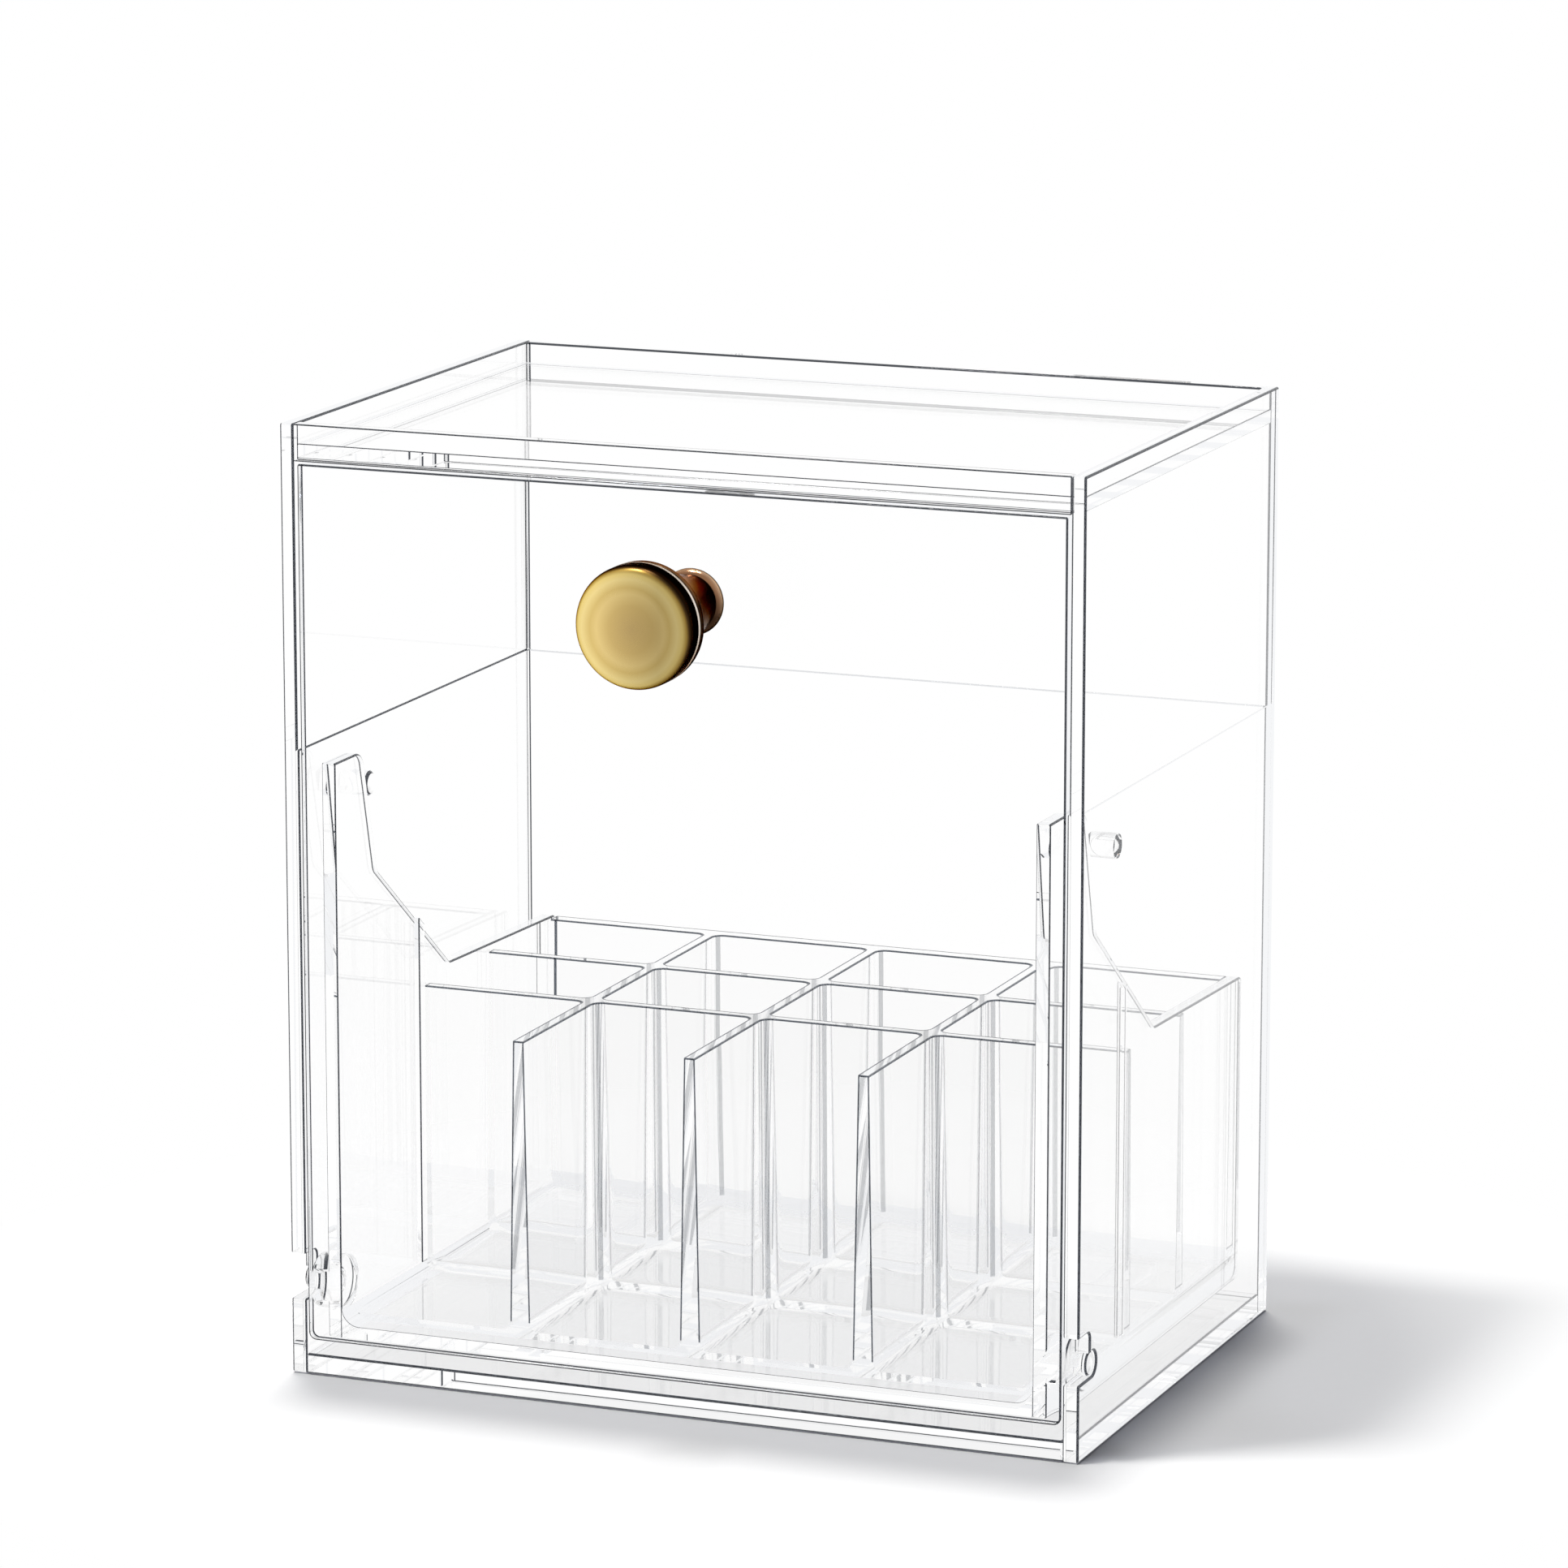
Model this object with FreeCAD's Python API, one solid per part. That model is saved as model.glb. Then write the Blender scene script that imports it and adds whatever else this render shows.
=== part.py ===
"""Clear acrylic vanity organizer: an open-fronted case with a tray top, and a tip-out bin.

Millimetres. +Z is up and +X is to the right of someone facing the object. The front faces -Y.
The origin is the centre of the case's footprint, on the surface that it stands on.
Depths are measured back from the case's front face, and reaches in from its outer side faces.
"""
import FreeCAD, Part
import math
import os

V = FreeCAD.Vector

# Overall size of the case
WIDTH = 184.0
DEPTH = 127.0
HEIGHT = 212.0

# Case plates: the walls are thicker inside, below a fine ledge
WALL = 3.2
WALL_LEDGE = 0.4
LEDGE_Z = 140.5
BASE_THICK = 4.6
TOP_THICK = 3.2
RIM = 4.6
HEADER_DROP = 0.4
EDGE_ROUND = 0.5
BASE_ROUND = 1.2

# Front panel of the bin
PANEL_THICK = 3.3
PANEL_BASE_GAP = 3.2
PANEL_TOP_GAP = 0.5
PANEL_SIDE_GAP = 0.4
PANEL_TOE_ROUND = 1.6
PANEL_CORNER_ROUND = 1.8

# Bin floor, with coved edges, and its two runner feet
FLOOR_RISE = 3.8
FLOOR_THICK = 2.8
FLOOR_COVE = 4.0
BIN_REAR_GAP = 1.2
FOOT_WIDTH = 8.0
FOOT_LENGTH = 26.0
FOOT_INSET = 20.0
FOOT_REAR = 5.0
FOOT_GAP = 0.2
FOOT_ROUND = 1.2

# Bin cheeks: a tall shoulder behind the panel, and a low wing behind the shoulder
CHEEK_THICK = 3.2
CHEEK_SIDE_GAP = 4.4
SHOULDER_Z = 137.6
SHOULDER_DEPTH = 17.5
SHOULDER_ROUND = 4.0
NECK_Z = 109.5
NECK_DEPTH = 24.5
NECK_ROUND = 3.0
ELBOW_DEPTH = 62.5
ELBOW_Z = 80.5
WING_Z = 78.5
WING_ROUND = 1.5
HEEL_ROUND = 3.0
RIB_REAR = 46.5
RIB_WIDTH = 3.0
RIB_PROUD = 1.2

# Pivots: a stud on each cheek, which snaps into a seat behind a notch in the side wall
PIVOT_DEPTH = 8.5
PIVOT_RISE = 15.2
PIN_R = 2.75
PIN_RUNNING_GAP = 0.08
PIN_END_GAP = 0.5
PIN_CHAMFER = 0.4
BOSS_R = 6.2
BOSS_WALL_GAP = 0.4
SPIGOT_R = 2.0
SPIGOT_LENGTH = 1.8
BOND_GAP = 0.03
NOTCH_DEPTH = 7.2
NOTCH_HEIGHT = 10.2
NOTCH_ROUND = 1.6

# Stop pegs on the side walls, which catch the cheeks when the bin is open
PEG_R = 2.8
PEG_DEPTH = 24.5
PEG_Z = 129.0
PEG_REACH = 10.0
PEG_HOLE = 1.6
PEG_CHAMFER = 0.6

# Divider rack: three long dividers and three cross walls, moulded with draft
RACK_COLUMNS = 4
RACK_ROWS = 2
RACK_SIDE_GAP = 0.4
RACK_RIB_GAP = 0.4
RACK_REAR_GAP = 0.4
RACK_SEAT_GAP = 0.1
RACK_FRONT = 8.5
RACK_WING_DROP = 0.3
RACK_WALL_TOP = 2.5
RACK_DRAFT_DEG = 1.0
RACK_FLOOR = 1.7
RACK_CORNER_ROUND = 2.4
RACK_FLOOR_ROUND = 2.0
RACK_EDGE_ROUND = 4.6

# Knob, turned about an axis that stands square on the panel
KNOB_DROP = 23.3
KNOB_X = 4.5
KNOB_HEAD_R = 13.75
KNOB_LENGTH = 34.5
CAP_THICK = 6.6
CAP_RIM = 2.4
CAP_DISH = 0.9
BEAD_R = 13.2
BEAD_THICK = 2.6
GROOVE_R = 12.3
GROOVE_WIDTH = 0.6
NECK_HEAD_R = 11.6
NECK_WAIST_R = 7.7
NECK_FOOT_R = 6.2
ROSETTE_R = 7.2
ROSETTE_THICK = 3.0
CAP_SPIGOT_R = 6.0
CAP_SPIGOT_LENGTH = 1.4
SCREW_R = 2.0
SCREW_HOLE_GAP = 0.05
PANEL_HOLE_R = 2.3
SCREW_HEAD_R = 4.0
SCREW_HEAD_THICK = 2.4
SCREW_HEAD_ROUND = 1.1
SCREW_GRIP = 9.0
SCREW_HOLE_SPARE = 1.0
SLOT_WIDTH = 1.1
SLOT_DEEP = 1.0
WASHER_R = 4.8
WASHER_THICK = 0.8

# Places worked out from the sizes above
HALF_W = WIDTH / 2
FRONT_Y = -DEPTH / 2
BACK_Y = DEPTH / 2
LOWER_WALL = WALL + WALL_LEDGE
TOP_UNDER = HEIGHT - RIM - TOP_THICK
HEADER_Z = TOP_UNDER - HEADER_DROP
PANEL_HALF = HALF_W - LOWER_WALL - PANEL_SIDE_GAP
PANEL_Z = BASE_THICK + PANEL_BASE_GAP
PANEL_TOP = HEADER_Z - PANEL_TOP_GAP
FLOOR_Z = BASE_THICK + FLOOR_RISE
FLOOR_TOP = FLOOR_Z + FLOOR_THICK
CHEEK_OUT = LOWER_WALL + CHEEK_SIDE_GAP
CHEEK_IN = CHEEK_OUT + CHEEK_THICK
BIN_REAR = DEPTH - LOWER_WALL - BIN_REAR_GAP
PIVOT_Z = BASE_THICK + PIVOT_RISE
SEAT_R = PIN_R + PIN_RUNNING_GAP
NOTCH_Z = PIVOT_Z - SEAT_R
RACK_TOP = WING_Z - RACK_WING_DROP
KNOB_Z = PANEL_TOP - KNOB_DROP


def y_at(depth):
    """Row position of a depth behind the case's front face."""
    return FRONT_Y + depth


def box(x0, x1, y0, y1, z0, z1):
    """Block between two corners."""
    return Part.makeBox(x1 - x0, y1 - y0, z1 - z0, V(x0, y0, z0))


def mirrored(shape):
    """The same piece for the other side of the case."""
    return shape.mirror(V(0, 0, 0), V(1, 0, 0))


def rounded_outline(corners):
    """Closed outline through (a, b, radius) corners, each rounded by a tangent arc."""
    count = len(corners)
    points = [V(a, b, 0) for a, b, _ in corners]
    starts, middles, ends = [], [], []
    for i, (_, _, radius) in enumerate(corners):
        to_last = (points[i - 1] - points[i]).normalize()
        to_next = (points[(i + 1) % count] - points[i]).normalize()
        half = to_last.getAngle(to_next) / 2
        reach = radius / math.tan(half)
        bisector = (to_last + to_next).normalize()
        starts.append(points[i] + to_last * reach)
        ends.append(points[i] + to_next * reach)
        middles.append(points[i] + bisector * (radius / math.sin(half) - radius))
    edges = []
    for i, (_, _, radius) in enumerate(corners):
        if radius > 0:
            edges.append(Part.Arc(starts[i], middles[i], ends[i]).toShape())
        edges.append(Part.makeLine(ends[i], starts[(i + 1) % count]))
    return Part.Wire(edges)


def plate_across_x(corners, x0, x1):
    """Plate between two X planes; its corners are (depth, z, radius)."""
    face = Part.Face(rounded_outline(corners))
    turn = FreeCAD.Matrix(0, 0, 1, x0, 1, 0, 0, FRONT_Y, 0, 1, 0, 0, 0, 0, 0, 1)
    return face.transformed(turn, copy=True).extrude(V(x1 - x0, 0, 0))


def plate_across_y(corners, depth0, depth1):
    """Plate between two depths; its corners are (x, z, radius)."""
    face = Part.Face(rounded_outline(corners))
    turn = FreeCAD.Matrix(1, 0, 0, 0, 0, 0, -1, y_at(depth0), 0, 1, 0, 0, 0, 0, 0, 1)
    return face.transformed(turn, copy=True).extrude(V(0, depth1 - depth0, 0))


def cylinder_x(radius, x0, x1, depth, z):
    """Round bar along X at a depth and height."""
    return Part.makeCylinder(radius, x1 - x0, V(x0, y_at(depth), z), V(1, 0, 0))


def rounded_edges(shape, radius, wanted):
    """The shape with the straight edges that pass the test rounded off."""
    edges = [edge for edge in shape.Edges if wanted(edge)]
    return shape.makeFillet(radius, edges)


def lies_along(edge, axis):
    """True for a straight edge that runs along X, Y or Z."""
    if len(edge.Vertexes) != 2 or not isinstance(edge.Curve, Part.Line):
        return False
    step = edge.Vertexes[1].Point - edge.Vertexes[0].Point
    across = [abs(step[i]) for i in range(3) if i != "XYZ".index(axis)]
    return max(across) < 1e-6


def near(value, target):
    """True when two positions are the same to a hundredth."""
    return abs(value - target) < 0.01


# Case

def side_wall():
    """Right side wall: ledge inside, pivot notch and seat, and a blind hole for the stop peg."""
    upper = box(HALF_W - WALL, HALF_W, FRONT_Y, BACK_Y, LEDGE_Z, HEIGHT)
    lower = box(HALF_W - LOWER_WALL, HALF_W, FRONT_Y, BACK_Y, 0, LEDGE_Z)
    wall = upper.fuse(lower).removeSplitter()

    def outer_edge(edge):
        point = edge.CenterOfMass
        upright = lies_along(edge, "Z") and near(point.x, HALF_W)
        top = lies_along(edge, "Y") and near(point.z, HEIGHT) and near(point.x, HALF_W)
        return upright or top

    def bottom_edge(edge):
        point = edge.CenterOfMass
        return lies_along(edge, "Y") and near(point.z, 0) and near(point.x, HALF_W)

    wall = rounded_edges(wall, EDGE_ROUND, outer_edge)
    wall = rounded_edges(wall, BASE_ROUND, bottom_edge)
    x0 = HALF_W - LOWER_WALL - 1
    x1 = HALF_W + 1
    top_z = NOTCH_Z + NOTCH_HEIGHT
    notch = plate_across_x([(-1, NOTCH_Z, 0), (NOTCH_DEPTH, NOTCH_Z, 0),
                            (NOTCH_DEPTH, top_z, NOTCH_ROUND), (-1, top_z, 0)], x0, x1)
    seat = cylinder_x(SEAT_R, x0, x1, PIVOT_DEPTH, PIVOT_Z)
    peg_bottom = HALF_W - LOWER_WALL + PEG_HOLE
    peg_hole = cylinder_x(PEG_R + BOND_GAP, x0, peg_bottom, PEG_DEPTH, PEG_Z)
    return wall.cut(notch).cut(seat).cut(peg_hole)


def back_wall():
    """Back wall between the side walls, with the same ledge."""
    upper = box(-(HALF_W - WALL), HALF_W - WALL, BACK_Y - WALL, BACK_Y, LEDGE_Z, HEIGHT)
    half = HALF_W - LOWER_WALL
    lower = box(-half, half, BACK_Y - LOWER_WALL, BACK_Y, 0, LEDGE_Z)
    return upper.fuse(lower).removeSplitter()


def base_plate():
    """Base between the side walls, in front of the back wall."""
    half = HALF_W - LOWER_WALL
    plate = box(-half, half, FRONT_Y, BACK_Y - LOWER_WALL, 0, BASE_THICK)

    def front_edge(edge):
        return lies_along(edge, "X") and near(edge.CenterOfMass.y, FRONT_Y)

    return rounded_edges(plate, EDGE_ROUND, front_edge)


def top_panel():
    """Sunk top panel, which makes the tray on the roof."""
    half = HALF_W - WALL
    return box(-half, half, FRONT_Y + WALL, BACK_Y - WALL, TOP_UNDER, TOP_UNDER + TOP_THICK)


def front_header():
    """Strip over the opening, which closes the tray's rim at the front."""
    half = HALF_W - WALL
    strip = box(-half, half, FRONT_Y, FRONT_Y + WALL, HEADER_Z, HEIGHT)

    def front_edge(edge):
        return lies_along(edge, "X") and near(edge.CenterOfMass.y, FRONT_Y)

    return rounded_edges(strip, EDGE_ROUND, front_edge)


def stop_peg():
    """Right stop peg, bonded in its blind hole, with a chamfered free end."""
    x0 = HALF_W - PEG_REACH
    peg = cylinder_x(PEG_R, x0, HALF_W - LOWER_WALL + PEG_HOLE, PEG_DEPTH, PEG_Z)
    free_end = [edge for edge in peg.Edges if near(edge.CenterOfMass.x, x0)]
    return peg.makeChamfer(PEG_CHAMFER, free_end)


# Bin

def front_panel():
    """Full-height front of the bin, with a hole for the knob's screw and a rounded toe."""
    corners = [(-PANEL_HALF, PANEL_Z, PANEL_CORNER_ROUND), (PANEL_HALF, PANEL_Z, PANEL_CORNER_ROUND),
               (PANEL_HALF, PANEL_TOP, EDGE_ROUND), (-PANEL_HALF, PANEL_TOP, EDGE_ROUND)]
    panel = plate_across_y(corners, 0, PANEL_THICK)

    def toe_edge(edge):
        point = edge.CenterOfMass
        return lies_along(edge, "X") and near(point.y, FRONT_Y) and near(point.z, PANEL_Z)

    panel = rounded_edges(panel, PANEL_TOE_ROUND, toe_edge)
    hole = Part.makeCylinder(PANEL_HOLE_R, PANEL_THICK + 2, V(KNOB_X, FRONT_Y - 1, KNOB_Z), V(0, 1, 0))
    return panel.cut(hole)


def diagonal_z(depth):
    """Height of the cheek's sloping edge at a depth."""
    share = (depth - NECK_DEPTH) / (ELBOW_DEPTH - NECK_DEPTH)
    return NECK_Z + share * (ELBOW_Z - NECK_Z)


def bin_cheek():
    """Right cheek, with the rib that holds the rack from sliding forward and the stud's hole."""
    outline = [(PANEL_THICK, FLOOR_Z, 0), (BIN_REAR, FLOOR_Z, HEEL_ROUND),
               (BIN_REAR, WING_Z, WING_ROUND), (ELBOW_DEPTH, ELBOW_Z, WING_ROUND),
               (NECK_DEPTH, NECK_Z, NECK_ROUND), (SHOULDER_DEPTH, SHOULDER_Z, SHOULDER_ROUND),
               (PANEL_THICK, SHOULDER_Z, 0)]
    inner = HALF_W - CHEEK_IN
    cheek = plate_across_x(outline, inner, HALF_W - CHEEK_OUT)
    rib_front = RIB_REAR - RIB_WIDTH
    rib = plate_across_x([(rib_front, FLOOR_TOP + FLOOR_COVE, 0), (RIB_REAR, FLOOR_TOP + FLOOR_COVE, 0),
                          (RIB_REAR, diagonal_z(RIB_REAR), 0),
                          (rib_front, diagonal_z(rib_front), 0)], inner - RIB_PROUD, inner)
    depth = HALF_W - CHEEK_OUT - SPIGOT_LENGTH
    hole = cylinder_x(SPIGOT_R + BOND_GAP, depth, HALF_W, PIVOT_DEPTH, PIVOT_Z)
    return cheek.fuse(rib).removeSplitter().cut(hole)


def bin_floor():
    """Floor between the cheeks: coved edges, and two runner feet under its rear."""
    half = HALF_W - CHEEK_IN
    cove_x = half - FLOOR_COVE
    cove_z = FLOOR_TOP + FLOOR_COVE
    bend = FLOOR_COVE * math.sin(math.radians(45))
    points = [V(-half, 0, FLOOR_Z), V(half, 0, FLOOR_Z), V(half, 0, cove_z),
              V(cove_x, 0, FLOOR_TOP), V(-cove_x, 0, FLOOR_TOP), V(-half, 0, cove_z)]
    right = Part.Arc(points[2], V(cove_x + bend, 0, cove_z - bend), points[3]).toShape()
    left = Part.Arc(points[4], V(-cove_x - bend, 0, cove_z - bend), points[5]).toShape()
    edges = [Part.makeLine(points[0], points[1]), Part.makeLine(points[1], points[2]), right,
             Part.makeLine(points[3], points[4]), left, Part.makeLine(points[5], points[0])]
    profile = Part.Face(Part.Wire(edges))
    profile.translate(V(0, y_at(PANEL_THICK), 0))
    floor = profile.extrude(V(0, BIN_REAR - PANEL_THICK, 0))
    for side in (-1, 1):
        floor = floor.fuse(runner_foot(side * (half - FOOT_INSET)))
    return floor.removeSplitter()


def runner_foot(x):
    """Low rounded runner under the floor, which rests on the base when the bin is closed."""
    rear = BIN_REAR - FOOT_REAR
    front = rear - FOOT_LENGTH
    low = BASE_THICK + FOOT_GAP
    foot = box(x - FOOT_WIDTH / 2, x + FOOT_WIDTH / 2, y_at(front), y_at(rear), low, FLOOR_Z)

    def lower_edge(edge):
        return near(edge.CenterOfMass.z, low)

    return rounded_edges(foot, FOOT_ROUND, lower_edge)


def pivot_stud():
    """Right pivot stud: spigot in the cheek, boss across the gap, and the pin in the wall."""
    boss_in = HALF_W - CHEEK_OUT
    spigot = cylinder_x(SPIGOT_R, boss_in - SPIGOT_LENGTH, boss_in, PIVOT_DEPTH, PIVOT_Z)
    boss_out = HALF_W - LOWER_WALL - BOSS_WALL_GAP
    boss = cylinder_x(BOSS_R, boss_in, boss_out, PIVOT_DEPTH, PIVOT_Z)
    pin_out = HALF_W - PIN_END_GAP
    pin = cylinder_x(PIN_R, boss_out, pin_out, PIVOT_DEPTH, PIVOT_Z)
    tip = [edge for edge in pin.Edges if near(edge.CenterOfMass.x, pin_out)]
    stud = spigot.fuse(boss).fuse(pin.makeChamfer(PIN_CHAMFER, tip)).removeSplitter()
    ahead = box(0, HALF_W, FRONT_Y - BOSS_R, y_at(PANEL_THICK), PIVOT_Z - 2 * BOSS_R, PIVOT_Z + 2 * BOSS_R)
    return stud.cut(ahead)


# Knob

def revolved(profile_edges):
    """Solid turned about the knob's axis from (reach, radius) edges in the YZ plane."""
    face = Part.Face(Part.Wire(profile_edges))
    return face.revolve(V(KNOB_X, 0, KNOB_Z), V(0, 1, 0), 360)


def knob_point(reach, radius):
    """Point at a reach in front of the panel and a radius from the knob's axis."""
    return V(KNOB_X, FRONT_Y - reach, KNOB_Z + radius)


def knob_polyline(points):
    """Straight edges through (reach, radius) points."""
    spots = [knob_point(*point) for point in points]
    return [Part.makeLine(a, b) for a, b in zip(spots, spots[1:])]


def knob_arc(start, middle, end):
    """Arc through three (reach, radius) points."""
    return Part.Arc(knob_point(*start), knob_point(*middle), knob_point(*end)).toShape()


def knob_cap():
    """Face of the knob: a shallow dish inside a rolled rim, with a spigot behind."""
    front = KNOB_LENGTH
    back = front - CAP_THICK
    roll = CAP_RIM * math.sin(math.radians(45))
    rim_r = KNOB_HEAD_R - CAP_RIM
    rim_middle = (front - CAP_RIM + roll, rim_r + roll)
    dish_r = rim_r - CAP_RIM / 2
    edges = [knob_arc((front - CAP_DISH, 0), (front - 0.75 * CAP_DISH, dish_r / 2), (front, dish_r))]
    edges += knob_polyline([(front, dish_r), (front, rim_r)])
    edges.append(knob_arc((front, rim_r), rim_middle, (front - CAP_RIM, KNOB_HEAD_R)))
    edges += knob_polyline([(front - CAP_RIM, KNOB_HEAD_R), (back + GROOVE_WIDTH, KNOB_HEAD_R),
                            (back + GROOVE_WIDTH, GROOVE_R), (back, GROOVE_R), (back, CAP_SPIGOT_R),
                            (back - CAP_SPIGOT_LENGTH, CAP_SPIGOT_R), (back - CAP_SPIGOT_LENGTH, 0),
                            (front - CAP_DISH, 0)])
    return revolved(edges)


def knob_body():
    """Bead behind the cap, waisted neck, and the blind threaded hole for the screw."""
    front = KNOB_LENGTH - CAP_THICK
    bead_back = front - BEAD_THICK
    foot = ROSETTE_THICK
    socket = front - CAP_SPIGOT_LENGTH - BOND_GAP
    hole_end = foot + SCREW_GRIP + SCREW_HOLE_SPARE
    hole_r = SCREW_R + SCREW_HOLE_GAP
    bead_mid = (front - BEAD_THICK / 2, BEAD_R)
    bead_edge_r = BEAD_R - BEAD_THICK / 2
    waist = (foot + 0.35 * (bead_back - foot), NECK_WAIST_R)
    socket_r = CAP_SPIGOT_R + BOND_GAP
    edges = knob_polyline([(foot, hole_r), (hole_end, hole_r), (hole_end, 0), (socket, 0), (socket, socket_r),
                           (front, socket_r), (front, bead_edge_r)])
    edges.append(knob_arc((front, bead_edge_r), bead_mid, (bead_back, bead_edge_r)))
    edges += knob_polyline([(bead_back, bead_edge_r), (bead_back, NECK_HEAD_R)])
    edges.append(knob_arc((bead_back, NECK_HEAD_R), waist, (foot, NECK_FOOT_R)))
    edges += knob_polyline([(foot, NECK_FOOT_R), (foot, hole_r)])
    return revolved(edges)


def knob_rosette():
    """Turned collar between the neck and the panel, with a rounded rim."""
    hole_r = PANEL_HOLE_R
    half = ROSETTE_THICK / 2
    flat_r = ROSETTE_R - half
    edges = knob_polyline([(0, hole_r), (0, flat_r)])
    edges.append(knob_arc((0, flat_r), (half, ROSETTE_R), (ROSETTE_THICK, flat_r)))
    edges += knob_polyline([(ROSETTE_THICK, flat_r), (ROSETTE_THICK, hole_r), (0, hole_r)])
    return revolved(edges)


def knob_washer():
    """Flat washer on the panel's inner face."""
    inner = -PANEL_THICK
    outer = inner - WASHER_THICK
    edges = knob_polyline([(inner, PANEL_HOLE_R), (inner, WASHER_R), (outer, WASHER_R),
                           (outer, PANEL_HOLE_R), (inner, PANEL_HOLE_R)])
    return revolved(edges)


def knob_screw():
    """Slotted pan-head screw, from inside the bin, through washer, panel and rosette."""
    seat = -PANEL_THICK - WASHER_THICK
    head = seat - SCREW_HEAD_THICK
    crown_r = SCREW_HEAD_R - SCREW_HEAD_ROUND
    roll = SCREW_HEAD_ROUND * math.sin(math.radians(45))
    middle = (head + SCREW_HEAD_ROUND - roll, crown_r + roll)
    edges = knob_polyline([(ROSETTE_THICK + SCREW_GRIP, 0), (ROSETTE_THICK + SCREW_GRIP, SCREW_R),
                           (seat, SCREW_R), (seat, SCREW_HEAD_R), (head + SCREW_HEAD_ROUND, SCREW_HEAD_R)])
    edges.append(knob_arc((head + SCREW_HEAD_ROUND, SCREW_HEAD_R), middle, (head, crown_r)))
    edges += knob_polyline([(head, crown_r), (head, 0), (ROSETTE_THICK + SCREW_GRIP, 0)])
    head_y = FRONT_Y - head
    slot = box(KNOB_X - SLOT_WIDTH / 2, KNOB_X + SLOT_WIDTH / 2, head_y - SLOT_DEEP, head_y + 1,
               KNOB_Z - SCREW_HEAD_R - 1, KNOB_Z + SCREW_HEAD_R + 1)
    return revolved(edges).cut(slot)


# Divider rack

def drafted_pocket(x0, x1, depth0, depth1, z0, z1, draft):
    """Moulding core between its sizes at the top; each side leans in by the draft, corners rounded."""
    rings = []
    for z, inset in ((z0, draft), (z1, 0.0)):
        a, b = x0 + inset, x1 - inset
        c, d = y_at(depth0 + inset), y_at(depth1 - inset)
        rings.append(Part.makePolygon([V(a, c, z), V(b, c, z), V(b, d, z), V(a, d, z), V(a, c, z)]))
    core = Part.makeLoft(rings, True, True)

    def side_edge(edge):
        box_of = edge.BoundBox
        return box_of.ZLength > (z1 - z0) / 2

    def bottom_edge(edge):
        return near(edge.BoundBox.ZMax, z0)

    core = rounded_edges(core, RACK_CORNER_ROUND, side_edge)
    return rounded_edges(core, RACK_FLOOR_ROUND, bottom_edge)


def divider_rack():
    """Moulded rack: two rows of closed compartments, and open bays between fins in front."""
    half = HALF_W - CHEEK_IN - RACK_SIDE_GAP
    rear = BIN_REAR - RACK_REAR_GAP
    bottom = FLOOR_TOP + RACK_SEAT_GAP
    block = plate_across_y([(-half, bottom, RACK_EDGE_ROUND), (half, bottom, RACK_EDGE_ROUND),
                            (half, RACK_TOP, 0), (-half, RACK_TOP, 0)], RACK_FRONT, rear)
    floor = bottom + RACK_FLOOR
    draft = (RACK_TOP - floor) * math.tan(math.radians(RACK_DRAFT_DEG))
    wall = RACK_WALL_TOP
    foot_half = wall / 2 + draft
    first = RIB_REAR + RACK_RIB_GAP + foot_half
    last = rear - foot_half
    pitch_x = 2 * half / RACK_COLUMNS
    pitch_y = (last - first) / RACK_ROWS
    overrun = 3 * RACK_FLOOR_ROUND + draft
    rack = block
    for column in range(RACK_COLUMNS):
        x0 = -half + column * pitch_x + wall / 2
        x1 = -half + (column + 1) * pitch_x - wall / 2
        if column == 0:
            x0 = -half - overrun
        if column == RACK_COLUMNS - 1:
            x1 = half + overrun
        spans = [(RACK_FRONT - overrun, first - wall / 2)]
        for row in range(RACK_ROWS):
            spans.append((first + row * pitch_y + wall / 2, first + (row + 1) * pitch_y - wall / 2))
        for depth0, depth1 in spans:
            rack = rack.cut(drafted_pocket(x0, x1, depth0, depth1, floor, RACK_TOP, draft))
    apron_half = half - RIB_PROUD
    for side in (-1, 1):
        inner = side * apron_half
        outer = side * (half + 1)
        rack = rack.cut(box(min(inner, outer), max(inner, outer), y_at(RACK_FRONT - 1),
                            y_at(RIB_REAR + RACK_RIB_GAP), bottom - 1, RACK_TOP))
    return rack


def open_angle():
    """Angle in degrees at which the wing's top edge comes up against the stop peg."""
    across = PEG_DEPTH - PIVOT_DEPTH
    up = PEG_Z - PIVOT_Z
    reach = math.hypot(across, up)
    bearing = math.degrees(math.atan2(up, across))
    fall = math.atan2(ELBOW_Z - WING_Z, BIN_REAR - ELBOW_DEPTH)
    edge_height = (WING_Z - PIVOT_Z) * math.cos(fall) + (BIN_REAR - PIVOT_DEPTH) * math.sin(fall)
    edge = math.degrees(math.asin((edge_height + PEG_R) / reach) - fall)
    return bearing - edge


def build():
    """Every piece of the organizer by name."""
    wall = side_wall()
    peg = stop_peg()
    cheek = bin_cheek()
    stud = pivot_stud()
    return {
        "side_wall_left": mirrored(wall),
        "side_wall_right": wall,
        "back_wall": back_wall(),
        "base_plate": base_plate(),
        "top_panel": top_panel(),
        "front_header": front_header(),
        "stop_peg_left": mirrored(peg),
        "stop_peg_right": peg,
        "front_panel": front_panel(),
        "bin_cheek_left": mirrored(cheek),
        "bin_cheek_right": cheek,
        "bin_floor": bin_floor(),
        "pivot_stud_left": mirrored(stud),
        "pivot_stud_right": stud,
        "knob_cap": knob_cap(),
        "knob_body": knob_body(),
        "knob_rosette": knob_rosette(),
        "knob_washer": knob_washer(),
        "knob_screw": knob_screw(),
        "divider_rack": divider_rack(),
    }


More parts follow.
